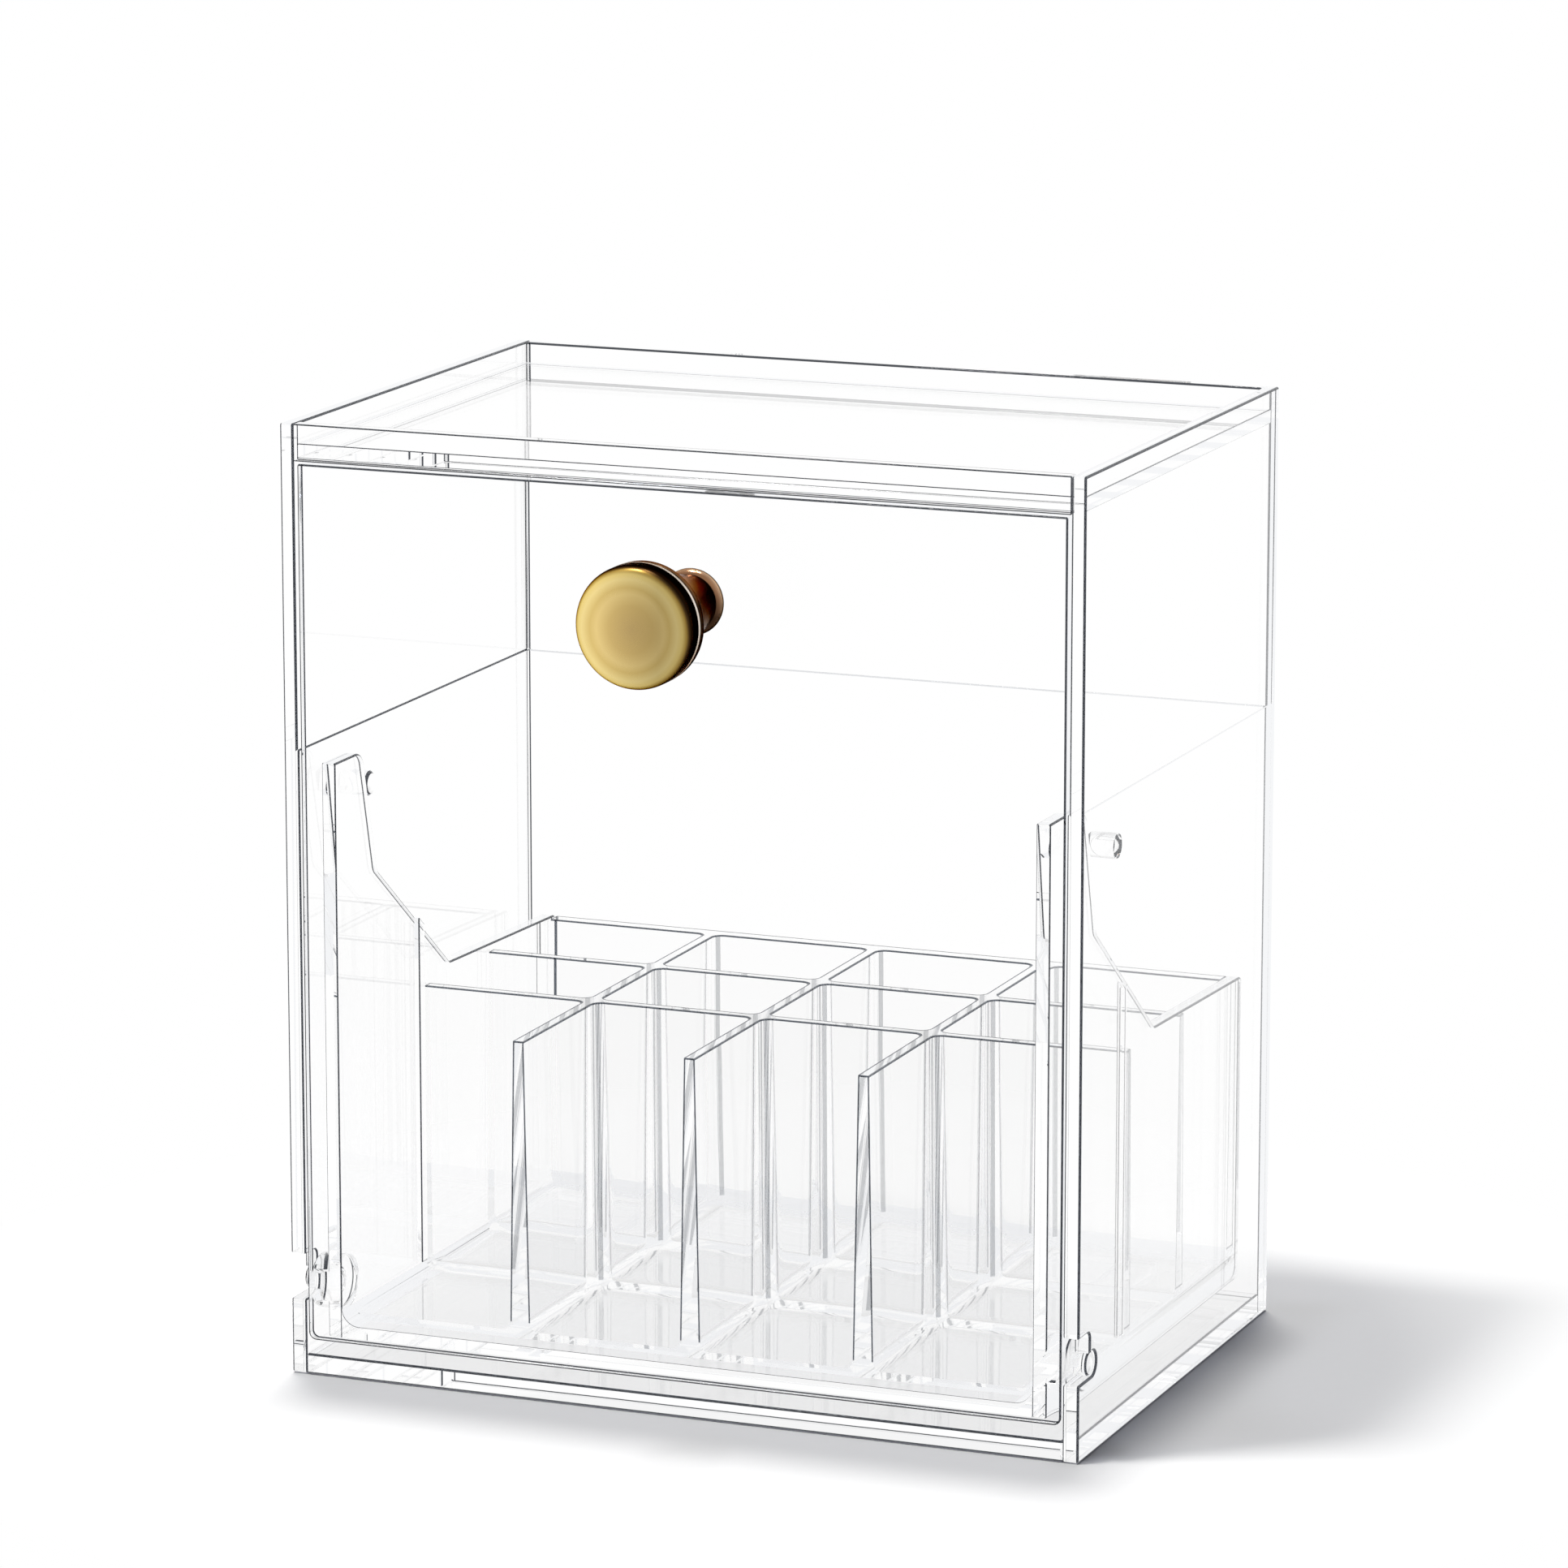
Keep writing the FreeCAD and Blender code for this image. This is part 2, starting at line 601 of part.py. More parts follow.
os.makedirs("parts", exist_ok=True)
for name, shape in build().items():
    if len(shape.Solids) != 1 or not shape.isValid():
        raise SystemExit(name + " is not one sound solid")
    shape.Solids[0].exportStep("parts/" + name + ".step")
print("bin meets the stop pegs at", round(open_angle(), 2), "degrees")
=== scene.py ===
"""Clear acrylic makeup organizer: a bonded case, a tip-out bin with a brass knob, and a loose divider rack.

Sizes are in millimetres and meshes in metres. The front is at -Y, and the case stands on z = 0.
"""

import logging
import math
from dataclasses import dataclass, field
from enum import Enum, IntEnum
from typing import Any

import bmesh
import bpy
import numpy as np
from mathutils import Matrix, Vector


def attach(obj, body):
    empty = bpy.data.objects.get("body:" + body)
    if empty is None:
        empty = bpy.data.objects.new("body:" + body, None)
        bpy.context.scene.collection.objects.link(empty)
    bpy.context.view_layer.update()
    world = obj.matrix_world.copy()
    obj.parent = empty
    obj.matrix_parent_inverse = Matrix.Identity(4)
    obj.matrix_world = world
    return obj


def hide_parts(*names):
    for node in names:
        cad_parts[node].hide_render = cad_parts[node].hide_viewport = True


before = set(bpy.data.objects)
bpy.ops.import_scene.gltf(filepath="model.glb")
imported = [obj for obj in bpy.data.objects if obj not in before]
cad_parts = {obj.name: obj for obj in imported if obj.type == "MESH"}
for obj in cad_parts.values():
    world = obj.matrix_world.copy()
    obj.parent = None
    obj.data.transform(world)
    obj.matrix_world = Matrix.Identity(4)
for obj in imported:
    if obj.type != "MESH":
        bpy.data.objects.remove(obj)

MM = 0.001
log = logging.getLogger("organizer")

# Front face of the case and of the closed bin
FRONT_MM = -63.5
# Distances in metres: points that are the same, points that are welded, and a point that lies in a plane
ONE_POINT = 1e-7
WELD = 2e-6
IN_PLANE = 1e-6
# Faces wider than this are kept truly flat in the shading
WIDE_FLAT = 2.0 * MM
# Faces that meet at less than this are one flat, in a fused shell and in the moulding
SAME_FLAT = math.radians(0.2)
MOULDED_FLAT = math.radians(0.3)
# Faces that meet at more than this have a sharp edge between them
SHARP_TURN = math.radians(50)
# A pocket's upright round: how far its normal has turned from both level axes, and how tall it is
POCKET_TURN = 0.5
POCKET_TALL = 5.0 * MM
# A mitre's divisor is at least this, which limits very sharp corners
LEAST_MITRE = 0.35
# How much wider an outline's corner round is than the arris that is set into it
ROUND_SPARE = 0.05
# Lines of a peg's or a stud's profile that are shorter than this are its chamfers
PIN_ROUND = 1.0

Point = tuple[float, float]
Profile = list[Point]
Corner = tuple[float, float, float]
Tones = tuple[tuple[float, str], ...]
Tree = bpy.types.NodeTree
Socket = bpy.types.NodeSocket


class Across(Enum):
    """The axis of a plate's thickness."""

    X = "x"
    Y = "y"
    Z = "z"


class Way(Enum):
    """Where a turned piece's axis points."""

    FORWARD = "-Y"
    RIGHT = "+X"
    LEFT = "-X"


class Mark(IntEnum):
    """A clear piece's material slots: its faces, its edges' painted lines, and its fainter painted lines."""

    FACE = 0
    EDGE = 1
    FAINT = 2


class Body(Enum):
    """The three bodies that move apart."""

    CASE = "case"
    BIN = "bin"
    RACK = "rack"


class Slot(Enum):
    """The record's material slots."""

    CASE = "clear_acrylic"
    BIN = "clear_acrylic_bin"
    RACK = "clear_moulded_rack"
    BRASS = "brushed_brass"
    STEEL = "zinc_plated_steel"


# Shader helpers


def linear(hex_colour: str) -> tuple[float, float, float, float]:
    """Turn an sRGB hex colour into linear RGBA.

    Args:
        hex_colour: six hex digits after a hash.

    Returns:
        Linear red, green, blue and an alpha of 1.
    """
    levels = [int(hex_colour[i:i + 2], 16) / 255 for i in (1, 3, 5)]
    red, green, blue = (c / 12.92 if c <= 0.04045 else ((c + 0.055) / 1.055) ** 2.4 for c in levels)
    return red, green, blue, 1.0


def add(tree: Tree, kind: str, inputs: dict[str | int, Any] | None = None, **settings: Any) -> bpy.types.Node:
    """Add a node with its settings, and give each named input a value or a link.

    Args:
        tree: node tree that gets the node.
        kind: the node's type name.
        inputs: socket name or number, and a constant or another node's output.
        settings: the node's own properties.

    Returns:
        The new node.
    """
    node = tree.nodes.new(kind)
    for name, value in settings.items():
        setattr(node, name, value)
    for name, value in (inputs or {}).items():
        if isinstance(value, Socket):
            tree.links.new(value, node.inputs[name])
        else:
            node.inputs[name].default_value = value
    return node


def empty_material(name: str) -> tuple[bpy.types.Material, Tree]:
    """Make a node material with no nodes in it.

    Args:
        name: the material's name.

    Returns:
        The material and its node tree.
    """
    material = bpy.data.materials.new(name)
    material.use_nodes = True
    material.node_tree.nodes.clear()
    return material, material.node_tree


def object_place(tree: Tree) -> Socket:
    """Object coordinates."""
    return add(tree, "ShaderNodeTexCoord").outputs["Object"]


def noise(tree: Tree, place: Socket, size_mm: float, detail: float) -> Socket:
    """Noise with patches of about the given size, and finer ones by the detail."""
    inputs = {"Vector": place, "Scale": 1 / (size_mm * MM), "Detail": detail}
    return add(tree, "ShaderNodeTexNoise", inputs).outputs["Fac"]


def graded(tree: Tree, value: Socket, span: Point, result: Point = (0.0, 1.0)) -> Socket:
    """The value's way along a span, taken evenly over to the result's two ends and held there."""
    inputs = dict(zip(("From Min", "From Max", "To Min", "To Max"), span + result), Value=value)
    return add(tree, "ShaderNodeMapRange", inputs).outputs["Result"]


def maths(tree: Tree, operation: str, *values: Any) -> Socket:
    """One step of arithmetic on sockets or numbers."""
    return add(tree, "ShaderNodeMath", dict(enumerate(values)), operation=operation).outputs["Value"]


def vector_maths(tree: Tree, operation: str, *values: Any) -> Socket:
    """One step of arithmetic on vectors that gives a number."""
    return add(tree, "ShaderNodeVectorMath", dict(enumerate(values)), operation=operation).outputs["Value"]


def blend(tree: Tree, share: Socket, first: Any, second: Any) -> Socket:
    """Mix two colours: a share of nought gives the first, and one gives the second."""
    return add(tree, "ShaderNodeMix", {0: share, 6: first, 7: second}, data_type="RGBA").outputs[2]


def blend_shaders(tree: Tree, share: Socket, first: Socket, second: Socket) -> Socket:
    """Mix two shaders: a share of nought gives the first, and one gives the second."""
    return add(tree, "ShaderNodeMixShader", {"Fac": share, 1: first, 2: second}).outputs["Shader"]


def mirrored_or_bent(tree: Tree, path: bpy.types.Node) -> Socket:
    """One for a ray that comes from a clear or polished surface, and nought for the rest."""
    return maths(tree, "MAXIMUM", path.outputs["Is Glossy Ray"], path.outputs["Is Transmission Ray"])


# Finishes


@dataclass(frozen=True)
class ClearAcrylic:
    """PMMA, cast as sheet or injection moulded: colourless and glossy, with an IOR of 1.49 if none is given.

    A finish with a line colour has that tint painted where it is seen nearly directly: painted shade for the
    dark line that a rounded edge of real acrylic draws by total reflection. The gleam is the colour of its
    mirror reflections, and the two depths count the surfaces that a ray has met.
    """

    name: str
    tint: str
    shadow: str
    roughness: float
    ripple_mm: float
    ripple_height: float
    line: str | None = None
    ior: float = 1.49
    gleam: str = "#1E1E1E"
    line_depth: int = 6
    last_depth: int = 14
    glow: str = "#F4F5F7"
    haze_mm: float = 12.0
    haze_span: Point = (0.4, 0.75)
    haze_least: float = 0.3

    def plastic(self, tree: Tree, place: Socket, tint: str) -> Socket:
        """Add the refracting shader.

        Args:
            tree: node tree that gets it.
            place: object coordinates.
            tint: colour that each face takes from the light.

        Returns:
            The shader's socket.
        """
        # Slow ripple left by casting or by the mould, which bends reflections a little
        ripple = noise(tree, place, self.ripple_mm, 1.0)
        bump = add(tree, "ShaderNodeBump", {"Height": ripple, "Strength": 1.0,
                                            "Distance": self.ripple_height * MM})
        # Wiping haze: the roughness drifts from patch to patch
        haze = noise(tree, place, self.haze_mm, 3.0)
        rough = graded(tree, haze, self.haze_span, (self.roughness * self.haze_least, self.roughness))
        # Faces mirror little, as under a diffuse tent; light trapped inside the sheet keeps its full strength
        shader = add(tree, "ShaderNodeBsdfPrincipled", {
            "Base Color": linear(tint), "Transmission Weight": 1.0, "IOR": self.ior,
            "Specular Tint": linear(self.gleam), "Roughness": rough, "Normal": bump.outputs["Normal"]})
        return shader.outputs["BSDF"]

    def material(self) -> bpy.types.Material:
        """Build the clear finish.

        Returns:
            A refracting material that lets most of a shadow ray through.
        """
        material, tree = empty_material(self.name)
        place = object_place(tree)
        path = add(tree, "ShaderNodeLightPath")
        depth = path.outputs["Ray Depth"]
        body = self.plastic(tree, place, self.tint)
        if self.line:
            # The painted dark line is drawn where it is seen nearly directly, not again in each inner
            # reflection
            drawn = self.plastic(tree, place, self.line)
            body = blend_shaders(tree, maths(tree, "GREATER_THAN", depth, self.line_depth), drawn, body)
        # Light that has crossed this many faces is spread so widely that an even glow stands for it
        spread = maths(tree, "GREATER_THAN", depth, self.last_depth)
        glow = add(tree, "ShaderNodeEmission", {"Color": linear(self.glow), "Strength": 1.0})
        body = blend_shaders(tree, spread, body, glow.outputs["Emission"])
        through = add(tree, "ShaderNodeBsdfTransparent", {"Color": linear(self.shadow)})
        whole = blend_shaders(tree, path.outputs["Is Shadow Ray"], body, through.outputs["BSDF"])
        add(tree, "ShaderNodeOutputMaterial", {"Surface": whole})
        return material


def cast_sheet(name: str) -> ClearAcrylic:
    """Cast sheet: nearly invisible to the eye, with a faint gleam and a light shadow."""
    return ClearAcrylic(name, "#FFFFFF", "#CCCDD1", roughness=0.01, ripple_mm=60, ripple_height=0.02)


def polished_edge(name: str, line: str, shadow: str = "#70737C", ior: float = 1.49) -> ClearAcrylic:
    """Flame-polished or moulded edge: a painted dark line to the eye, and a darker rim in the shadow."""
    return ClearAcrylic(name, "#FEFEFE", shadow, roughness=0.05, ripple_mm=8, ripple_height=0.01, line=line,
                        ior=ior)


@dataclass(frozen=True)
class TurnedBrass:
    """Brass turned on a lathe, antiqued dark, relieved by hand and lacquered: fine rings, dark in the turns.

    The tones hold the brass's colour together with painted highlights and painted shade, and run with the
    reach from the panel on the sides, and with the radius on the face. Painted shade darkens the colour by
    the shade's share where the distance along painted_light_from is under the shade's first length, and not
    at all past its second.
    """

    name: str
    side: Tones
    roughness: float
    grazing: str
    axis: Point
    painted_light_from: Point
    shade_mm: Point
    shade_share: float
    face: Tones = ()
    rim_mm: float = 0.0
    rim_blur_mm: float = 0.2
    painted_crescent_shift: Point = (0.0, 0.0)
    ring_mm: float = 0.35
    ring_height_mm: float = 0.01
    ring_strength: float = 0.1
    film_mm: float = 5.0
    film_span: Point = (0.3, 0.7)
    film_swing: Point = (0.8, 1.2)
    drift: float = 0.012
    # Colour of the painted shade
    deep: str = "#20130B"

    def tone(self, tree: Tree, tones: Tones, source: Socket, film: Socket) -> Socket:
        """Add a ramp of tones, brass colour and painted light alike, along a length.

        Args:
            tree: node tree that gets it.
            tones: (millimetres, sRGB hex) in order.
            source: the length in metres.
            film: noise that makes the tones drift a little.

        Returns:
            The tone's socket.
        """
        low, high = tones[0][0], tones[-1][0]
        share = graded(tree, source, (low * MM, high * MM))
        drifted = maths(tree, "MULTIPLY_ADD", film, self.drift, share)
        settled = maths(tree, "SUBTRACT", drifted, self.drift / 2)
        ramp = add(tree, "ShaderNodeValToRGB", {"Fac": settled})
        stops = ramp.color_ramp.elements
        for number, (at, colour) in enumerate(tones):
            position = (at - low) / (high - low)
            # A new ramp has two stops already
            stop = stops[number] if number < 2 else stops.new(position)
            stop.position, stop.color = position, linear(colour)
        return ramp.outputs["Color"]

    def material(self) -> bpy.types.Material:
        """Build the brass finish.

        Returns:
            A metal with rings round the knob's own axis.
        """
        material, tree = empty_material(self.name)
        place = object_place(tree)
        centred = add(tree, "ShaderNodeMapping", {
            "Vector": place, "Location": (-self.axis[0], 0, -self.axis[1]), "Scale": (1, 0, 1)},
            vector_type="POINT").outputs["Vector"]
        radius = vector_maths(tree, "LENGTH", centred)
        depth = add(tree, "ShaderNodeSeparateXYZ", {"Vector": place}).outputs["Y"]
        # Turning marks: noise that reads only the radius and the place along the axis, so it makes rings
        pair = add(tree, "ShaderNodeCombineXYZ", {"X": radius, "Y": depth}).outputs["Vector"]
        rings = noise(tree, pair, self.ring_mm, 2.0)
        bump = add(tree, "ShaderNodeBump", {"Height": rings, "Strength": self.ring_strength,
                                            "Distance": self.ring_height_mm * MM})
        # The lacquer's film varies the gloss
        film = noise(tree, place, self.film_mm, 3.0)
        rough = graded(tree, film, self.film_span, tuple(self.roughness * swing for swing in self.film_swing))
        side = self.tone(tree, self.side, maths(tree, "SUBTRACT", FRONT_MM * MM, depth), film)
        front = side
        if self.face:
            # Painted shade crescent: the face's ramp is centred a little off the axis, so that its dark rim
            # is wider on one side
            shift = (self.painted_crescent_shift[0] * MM, 0, self.painted_crescent_shift[1] * MM)
            front = self.tone(tree, self.face, vector_maths(tree, "DISTANCE", centred, shift), film)
        # Painted shade: the colour darkens towards the side away from painted_light_from
        across = vector_maths(tree, "DOT_PRODUCT", centred, (self.painted_light_from[0], 0, self.painted_light_from[1]))
        shade = graded(tree, across, (self.shade_mm[0] * MM, self.shade_mm[1] * MM), (self.shade_share, 0.0))
        colour = blend(tree, shade, front, linear(self.deep))
        if self.face:
            past_rim = graded(tree, radius, ((self.rim_mm - self.rim_blur_mm) * MM, self.rim_mm * MM))
            colour = blend(tree, past_rim, colour, side)
        metal = add(tree, "ShaderNodeBsdfPrincipled", {
            "Base Color": colour, "Metallic": 1.0, "Roughness": rough,
            "Specular Tint": linear(self.grazing), "Normal": bump.outputs["Normal"]})
        add(tree, "ShaderNodeOutputMaterial", {"Surface": metal.outputs["BSDF"]})
        return material


@dataclass(frozen=True)
class PlatedSteel:
    """Carbon steel with a bright zinc plate: cool grey to the eye, faintly mottled by the spangle."""

    name: str
    bright: str = "#C9CCD1"
    dark: str = "#8F949B"
    spangle_mm: float = 0.9
    roughness: Point = (0.22, 0.4)

    def material(self) -> bpy.types.Material:
        """Build the zinc finish.

        Returns:
            A semi-bright metal with a small mottle.
        """
        material, tree = empty_material(self.name)
        inputs = {"Vector": object_place(tree), "Scale": 1 / (self.spangle_mm * MM)}
        spangle = add(tree, "ShaderNodeTexVoronoi", inputs).outputs["Distance"]
        metal = add(tree, "ShaderNodeBsdfPrincipled", {
            "Base Color": blend(tree, spangle, linear(self.bright), linear(self.dark)), "Metallic": 1.0,
            "Roughness": graded(tree, spangle, (0.0, 1.0), self.roughness)})
        add(tree, "ShaderNodeOutputMaterial", {"Surface": metal.outputs["BSDF"]})
        return material


# Mesh helpers


def link(name: str, mesh: bpy.types.Mesh) -> bpy.types.Object:
    """Put a mesh into the scene as an object at the origin.

    Args:
        name: the object's name.
        mesh: its mesh.

    Returns:
        The new object.
    """
    piece = bpy.data.objects.new(name, mesh)
    bpy.context.scene.collection.objects.link(piece)
    return piece


def arc(start: Point, middle: Point, end: Point, count: int) -> Profile:
    """Points on the circle through three points.

    The centre is where the two chords' perpendicular bisectors cross; the angle then runs evenly from the
    start, past the middle, to the end.

    Args:
        start: first point.
        middle: a point between.
        end: last point.
        count: number of points.

    Returns:
        The points, both ends included.
    """
    a, b, c = (np.array(p, float) for p in (start, middle, end))
    lhs = 2 * np.array([b - a, c - a])
    centre = np.linalg.solve(lhs, np.array([b @ b - a @ a, c @ c - a @ a]))
    angles = np.unwrap([math.atan2(*(p - centre)[::-1]) for p in (a, b, c)])
    if abs(angles[2] - angles[0]) > 2 * math.pi - 1e-9:
        angles[2] -= math.copysign(2 * math.pi, angles[2] - angles[0])
    turn = np.linspace(angles[0], angles[2], count)
    radius = np.linalg.norm(a - centre)
    points = centre + radius * np.stack([np.cos(turn), np.sin(turn)], axis=1)
    return [tuple(p) for p in points.tolist()]


def outward(side: int) -> Way:
    """The way that points out of the case on a side: 1 for the right, -1 for the left."""
    return Way.RIGHT if side > 0 else Way.LEFT


def open_slots(mesh: bpy.types.Mesh) -> None:
    """Give a mesh an empty material slot for each mark, so that its faces can hold their numbers."""
    for _ in Mark:
        mesh.materials.append(None)


def ring_quads(rings: int, count: int) -> np.ndarray:
    """Quads between rings of points that are stacked one after another.

    A quad joins points j and j + 1 of a ring, counted round, with the same two points of the next ring.

    Args:
        rings: number of rings.
        count: points on each ring.

    Returns:
        Four point numbers for each quad, ring by ring.
    """
    i, j = np.meshgrid(np.arange(rings - 1), np.arange(count), indexing="ij")
    after = (j + 1) % count
    corners = [i * count + j, i * count + after, (i + 1) * count + after, (i + 1) * count + j]
    return np.stack(corners, axis=-1).reshape(-1, 4)


def turned_mesh(name: str, profile: Profile, segments: int, way: Way, centre: Vector,
                round_mm: float = 0.0) -> bpy.types.Mesh:
    """Closed surface of a profile turned round an axis.

    Each profile point (reach, radius) becomes a ring: along the axis by its reach, and round it by
    radius times (cosine, sine) of the turn. Rings of no radius are merged into a pole.

    Args:
        name: the mesh's name.
        profile: closed loop, or a line with both ends on the axis, in millimetres.
        segments: steps round the axis.
        way: where the reach points.
        centre: the axis' start, in metres.
        round_mm: profile lines shorter than this are rounds, which are marked as edges.

    Returns:
        A mesh with outward faces.
    """
    reach, radius = (np.array(column) * MM for column in zip(*profile))
    turn = np.linspace(0, 2 * math.pi, segments, endpoint=False)
    u, v = radius[:, None] * np.cos(turn), radius[:, None] * np.sin(turn)
    w = np.repeat(reach[:, None], segments, axis=1)
    grid = {Way.FORWARD: (u, -w, v), Way.RIGHT: (w, u, v), Way.LEFT: (-w, u, v)}[way]
    points = np.stack(grid, axis=-1).reshape(-1, 3) + np.array(centre)
    mesh = bpy.data.meshes.new(name)
    mesh.from_pydata(points, [], ring_quads(len(profile), segments))
    if round_mm:
        open_slots(mesh)
        length = np.linalg.norm(np.diff(np.array(profile), axis=0), axis=1)
        marks = np.where(length < round_mm, Mark.EDGE, Mark.FACE)
        mesh.polygons.foreach_set("material_index", np.repeat(marks, segments).astype(np.int32))
    work = bmesh.new()
    work.from_mesh(mesh)
    bmesh.ops.remove_doubles(work, verts=work.verts, dist=ONE_POINT)
    bmesh.ops.recalc_face_normals(work, faces=work.faces)
    work.to_mesh(mesh)
    work.free()
    return mesh


def rounded_outline(corners: list[Corner], steps: int = 6) -> np.ndarray:
    """Closed outline through corners, each rounded by a tangent arc.

    At each corner the arc's centre lies on the bisector, at radius / sin(half angle) from the corner, and
    the arc's points turn evenly from one tangent point to the other.

    Args:
        corners: (a, b, radius) in millimetres, in order.
        steps: points on each arc.

    Returns:
        N x 2 points in millimetres, counter-clockwise.
    """
    points = np.array([(a, b) for a, b, _ in corners])
    outline: list[np.ndarray] = []
    for i, (_, _, radius) in enumerate(corners):
        here, last, after = points[i], points[i - 1], points[(i + 1) % len(points)]
        if radius <= 0:
            outline.append(here[None])
            continue
        to_last, to_next = unit(last - here), unit(after - here)
        half = math.acos(np.clip(to_last @ to_next, -1, 1)) / 2
        centre = here + unit(to_last + to_next) * radius / math.sin(half)
        start = here + to_last * radius / math.tan(half) - centre
        end = here + to_next * radius / math.tan(half) - centre
        share = np.linspace(0, 1, steps)[:, None]
        chord = start * (1 - share) + end * share
        outline.append(centre + radius * chord / np.linalg.norm(chord, axis=1, keepdims=True))
    return wound(np.concatenate(outline))


def unit(vector: np.ndarray) -> np.ndarray:
    """The vector at length one."""
    return vector / np.linalg.norm(vector)


def wound(outline: np.ndarray) -> np.ndarray:
    """The outline, reversed if it runs clockwise, which its area's sign tells.

    Args:
        outline: N x 2 points.

    Returns:
        The same points, counter-clockwise.
    """
    after = np.roll(outline, -1, axis=0)
    area = (outline[:, 0] * after[:, 1] - after[:, 0] * outline[:, 1]).sum()
    return outline if area > 0 else outline[::-1]


def inset(outline: np.ndarray, width: float) -> np.ndarray:
    """Move each corner in along its mitre.

    The shift is width times the sum of the two inward edge normals over one plus their dot product, which
    keeps every edge parallel; very sharp corners are limited.

    Args:
        outline: counter-clockwise points.
        width: how far the edges move in.

    Returns:
        As many points.
    """
    ahead = np.roll(outline, -1, axis=0) - outline
    ahead /= np.linalg.norm(ahead, axis=1, keepdims=True)
    normal_next = np.stack([-ahead[:, 1], ahead[:, 0]], axis=1)
    normal_last = np.roll(normal_next, 1, axis=0)
    mitre = np.maximum(1 + (normal_next * normal_last).sum(axis=1, keepdims=True), LEAST_MITRE)
    return outline + width * (normal_next + normal_last) / mitre


def plate_mesh(name: str, outline: np.ndarray, low: float, high: float, across: Across, arris: float,
               faint_top: bool = False) -> bpy.types.Mesh:
    """Plate with an outline, a thickness and rounded arrises on both faces.

    Rings of the outline are stacked through the thickness. Near each face a ring at angle t of a quarter
    turn is set in by arris x (1 - sin t) and lies arris x (1 - cos t) below the face.

    Args:
        name: the mesh's name.
        outline: counter-clockwise points in millimetres.
        low: where the plate starts through its thickness, in millimetres.
        high: where it ends.
        across: the axis of the thickness.
        arris: radius of the rounded edges in millimetres.
        faint_top: whether the rounds along the outline's top are marked as faint.

    Returns:
        A closed mesh; the other rounds are marked as edges.
    """
    turn = np.linspace(0, math.pi / 2, 3)
    ring_in = np.concatenate([1 - np.sin(turn), (1 - np.sin(turn))[::-1]]) * arris
    ring_at = np.concatenate([low + arris * (1 - np.cos(turn)), (high - arris * (1 - np.cos(turn)))[::-1]])
    rings = np.stack([inset(outline, width) for width in ring_in])
    through = np.repeat(ring_at[:, None], len(outline), axis=1)
    a, b = rings[..., 0], rings[..., 1]
    grid = {Across.X: (through, a + FRONT_MM, b), Across.Y: (a, through + FRONT_MM, b),
            Across.Z: (a, b + FRONT_MM, through)}[across]
    points = np.stack(grid, axis=-1).reshape(-1, 3) * MM
    count, rows = len(outline), len(ring_at)
    caps = [list(range(count))[::-1], list(range((rows - 1) * count, rows * count))]
    mesh = bpy.data.meshes.new(name)
    mesh.from_pydata(points, [], ring_quads(rows, count).tolist() + caps)
    # The middle band of quads is the plate's own rim, and the bands beside it are the rounds
    rounds = np.arange(rows - 1) != rows // 2 - 1
    height = outline[:, 1]
    along_top = np.minimum(height, np.roll(height, -1)) > height.max() - IN_PLANE / MM
    drawn = np.where(along_top & faint_top, Mark.FAINT, Mark.EDGE)
    index = np.concatenate([np.outer(rounds, drawn).ravel(), [Mark.FACE] * len(caps)]).astype(np.int32)
    open_slots(mesh)
    mesh.polygons.foreach_set("material_index", index)
    work = bmesh.new()
    work.from_mesh(mesh)
    bmesh.ops.recalc_face_normals(work, faces=work.faces)
    bmesh.ops.triangulate(work, faces=[face for face in work.faces if len(face.verts) > 4])
    work.to_mesh(mesh)
    work.free()
    return mesh


def bonded(name: str, parts: list[bpy.types.Mesh]) -> bpy.types.Object:
    """Fuse plates into one solid, as solvent bonding does: the joint planes inside vanish.

    Args:
        name: the fused piece's name.
        parts: closed meshes that overlap a little.

    Returns:
        The fused object.
    """
    holder = bpy.data.collections.new(name + "_parts")
    helpers = [bpy.data.objects.new(f"{name}_{i}", mesh) for i, mesh in enumerate(parts)]
    piece = link(name, helpers[0].data)
    for helper in helpers[1:]:
        holder.objects.link(helper)
    fuse = piece.modifiers.new("bond", "BOOLEAN")
    fuse.operation, fuse.solver = "UNION", "MANIFOLD"
    fuse.operand_type, fuse.collection = "COLLECTION", holder
    bpy.context.view_layer.update()
    mesh = bpy.data.meshes.new_from_object(piece.evaluated_get(bpy.context.evaluated_depsgraph_get()))
    piece.modifiers.clear()
    piece.data = mesh
    mesh.name = name
    for helper in helpers:
        bpy.data.objects.remove(helper)
    bpy.data.collections.remove(holder)
    keep_flats_flat(mesh)
    return piece


def keep_flats_flat(mesh: bpy.types.Mesh) -> None:
    """Shade curves smooth, and end the smoothing at the rim of each wide flat face, so that it refracts true.

    A face is wide where its area divided by its longest reach is over the width of a wide flat.

    Args:
        mesh: the finished mesh.
    """
    work = bmesh.new()
    work.from_mesh(mesh)
    bmesh.ops.remove_doubles(work, verts=work.verts, dist=WELD)
    bmesh.ops.dissolve_limit(work, angle_limit=SAME_FLAT, verts=work.verts, edges=work.edges,
                             delimit={"MATERIAL"})
    for face in work.faces:
        face.smooth = True
        middle = face.calc_center_bounds()
        reach = 2 * max((v.co - middle).length for v in face.verts)
        if face.calc_area() / reach > WIDE_FLAT:
            for edge in face.edges:
                edge.smooth = False
    for edge in work.edges:
        if len(edge.link_faces) == 2 and edge.calc_face_angle(0) > SHARP_TURN:
            edge.smooth = False
    work.to_mesh(mesh)
    work.free()


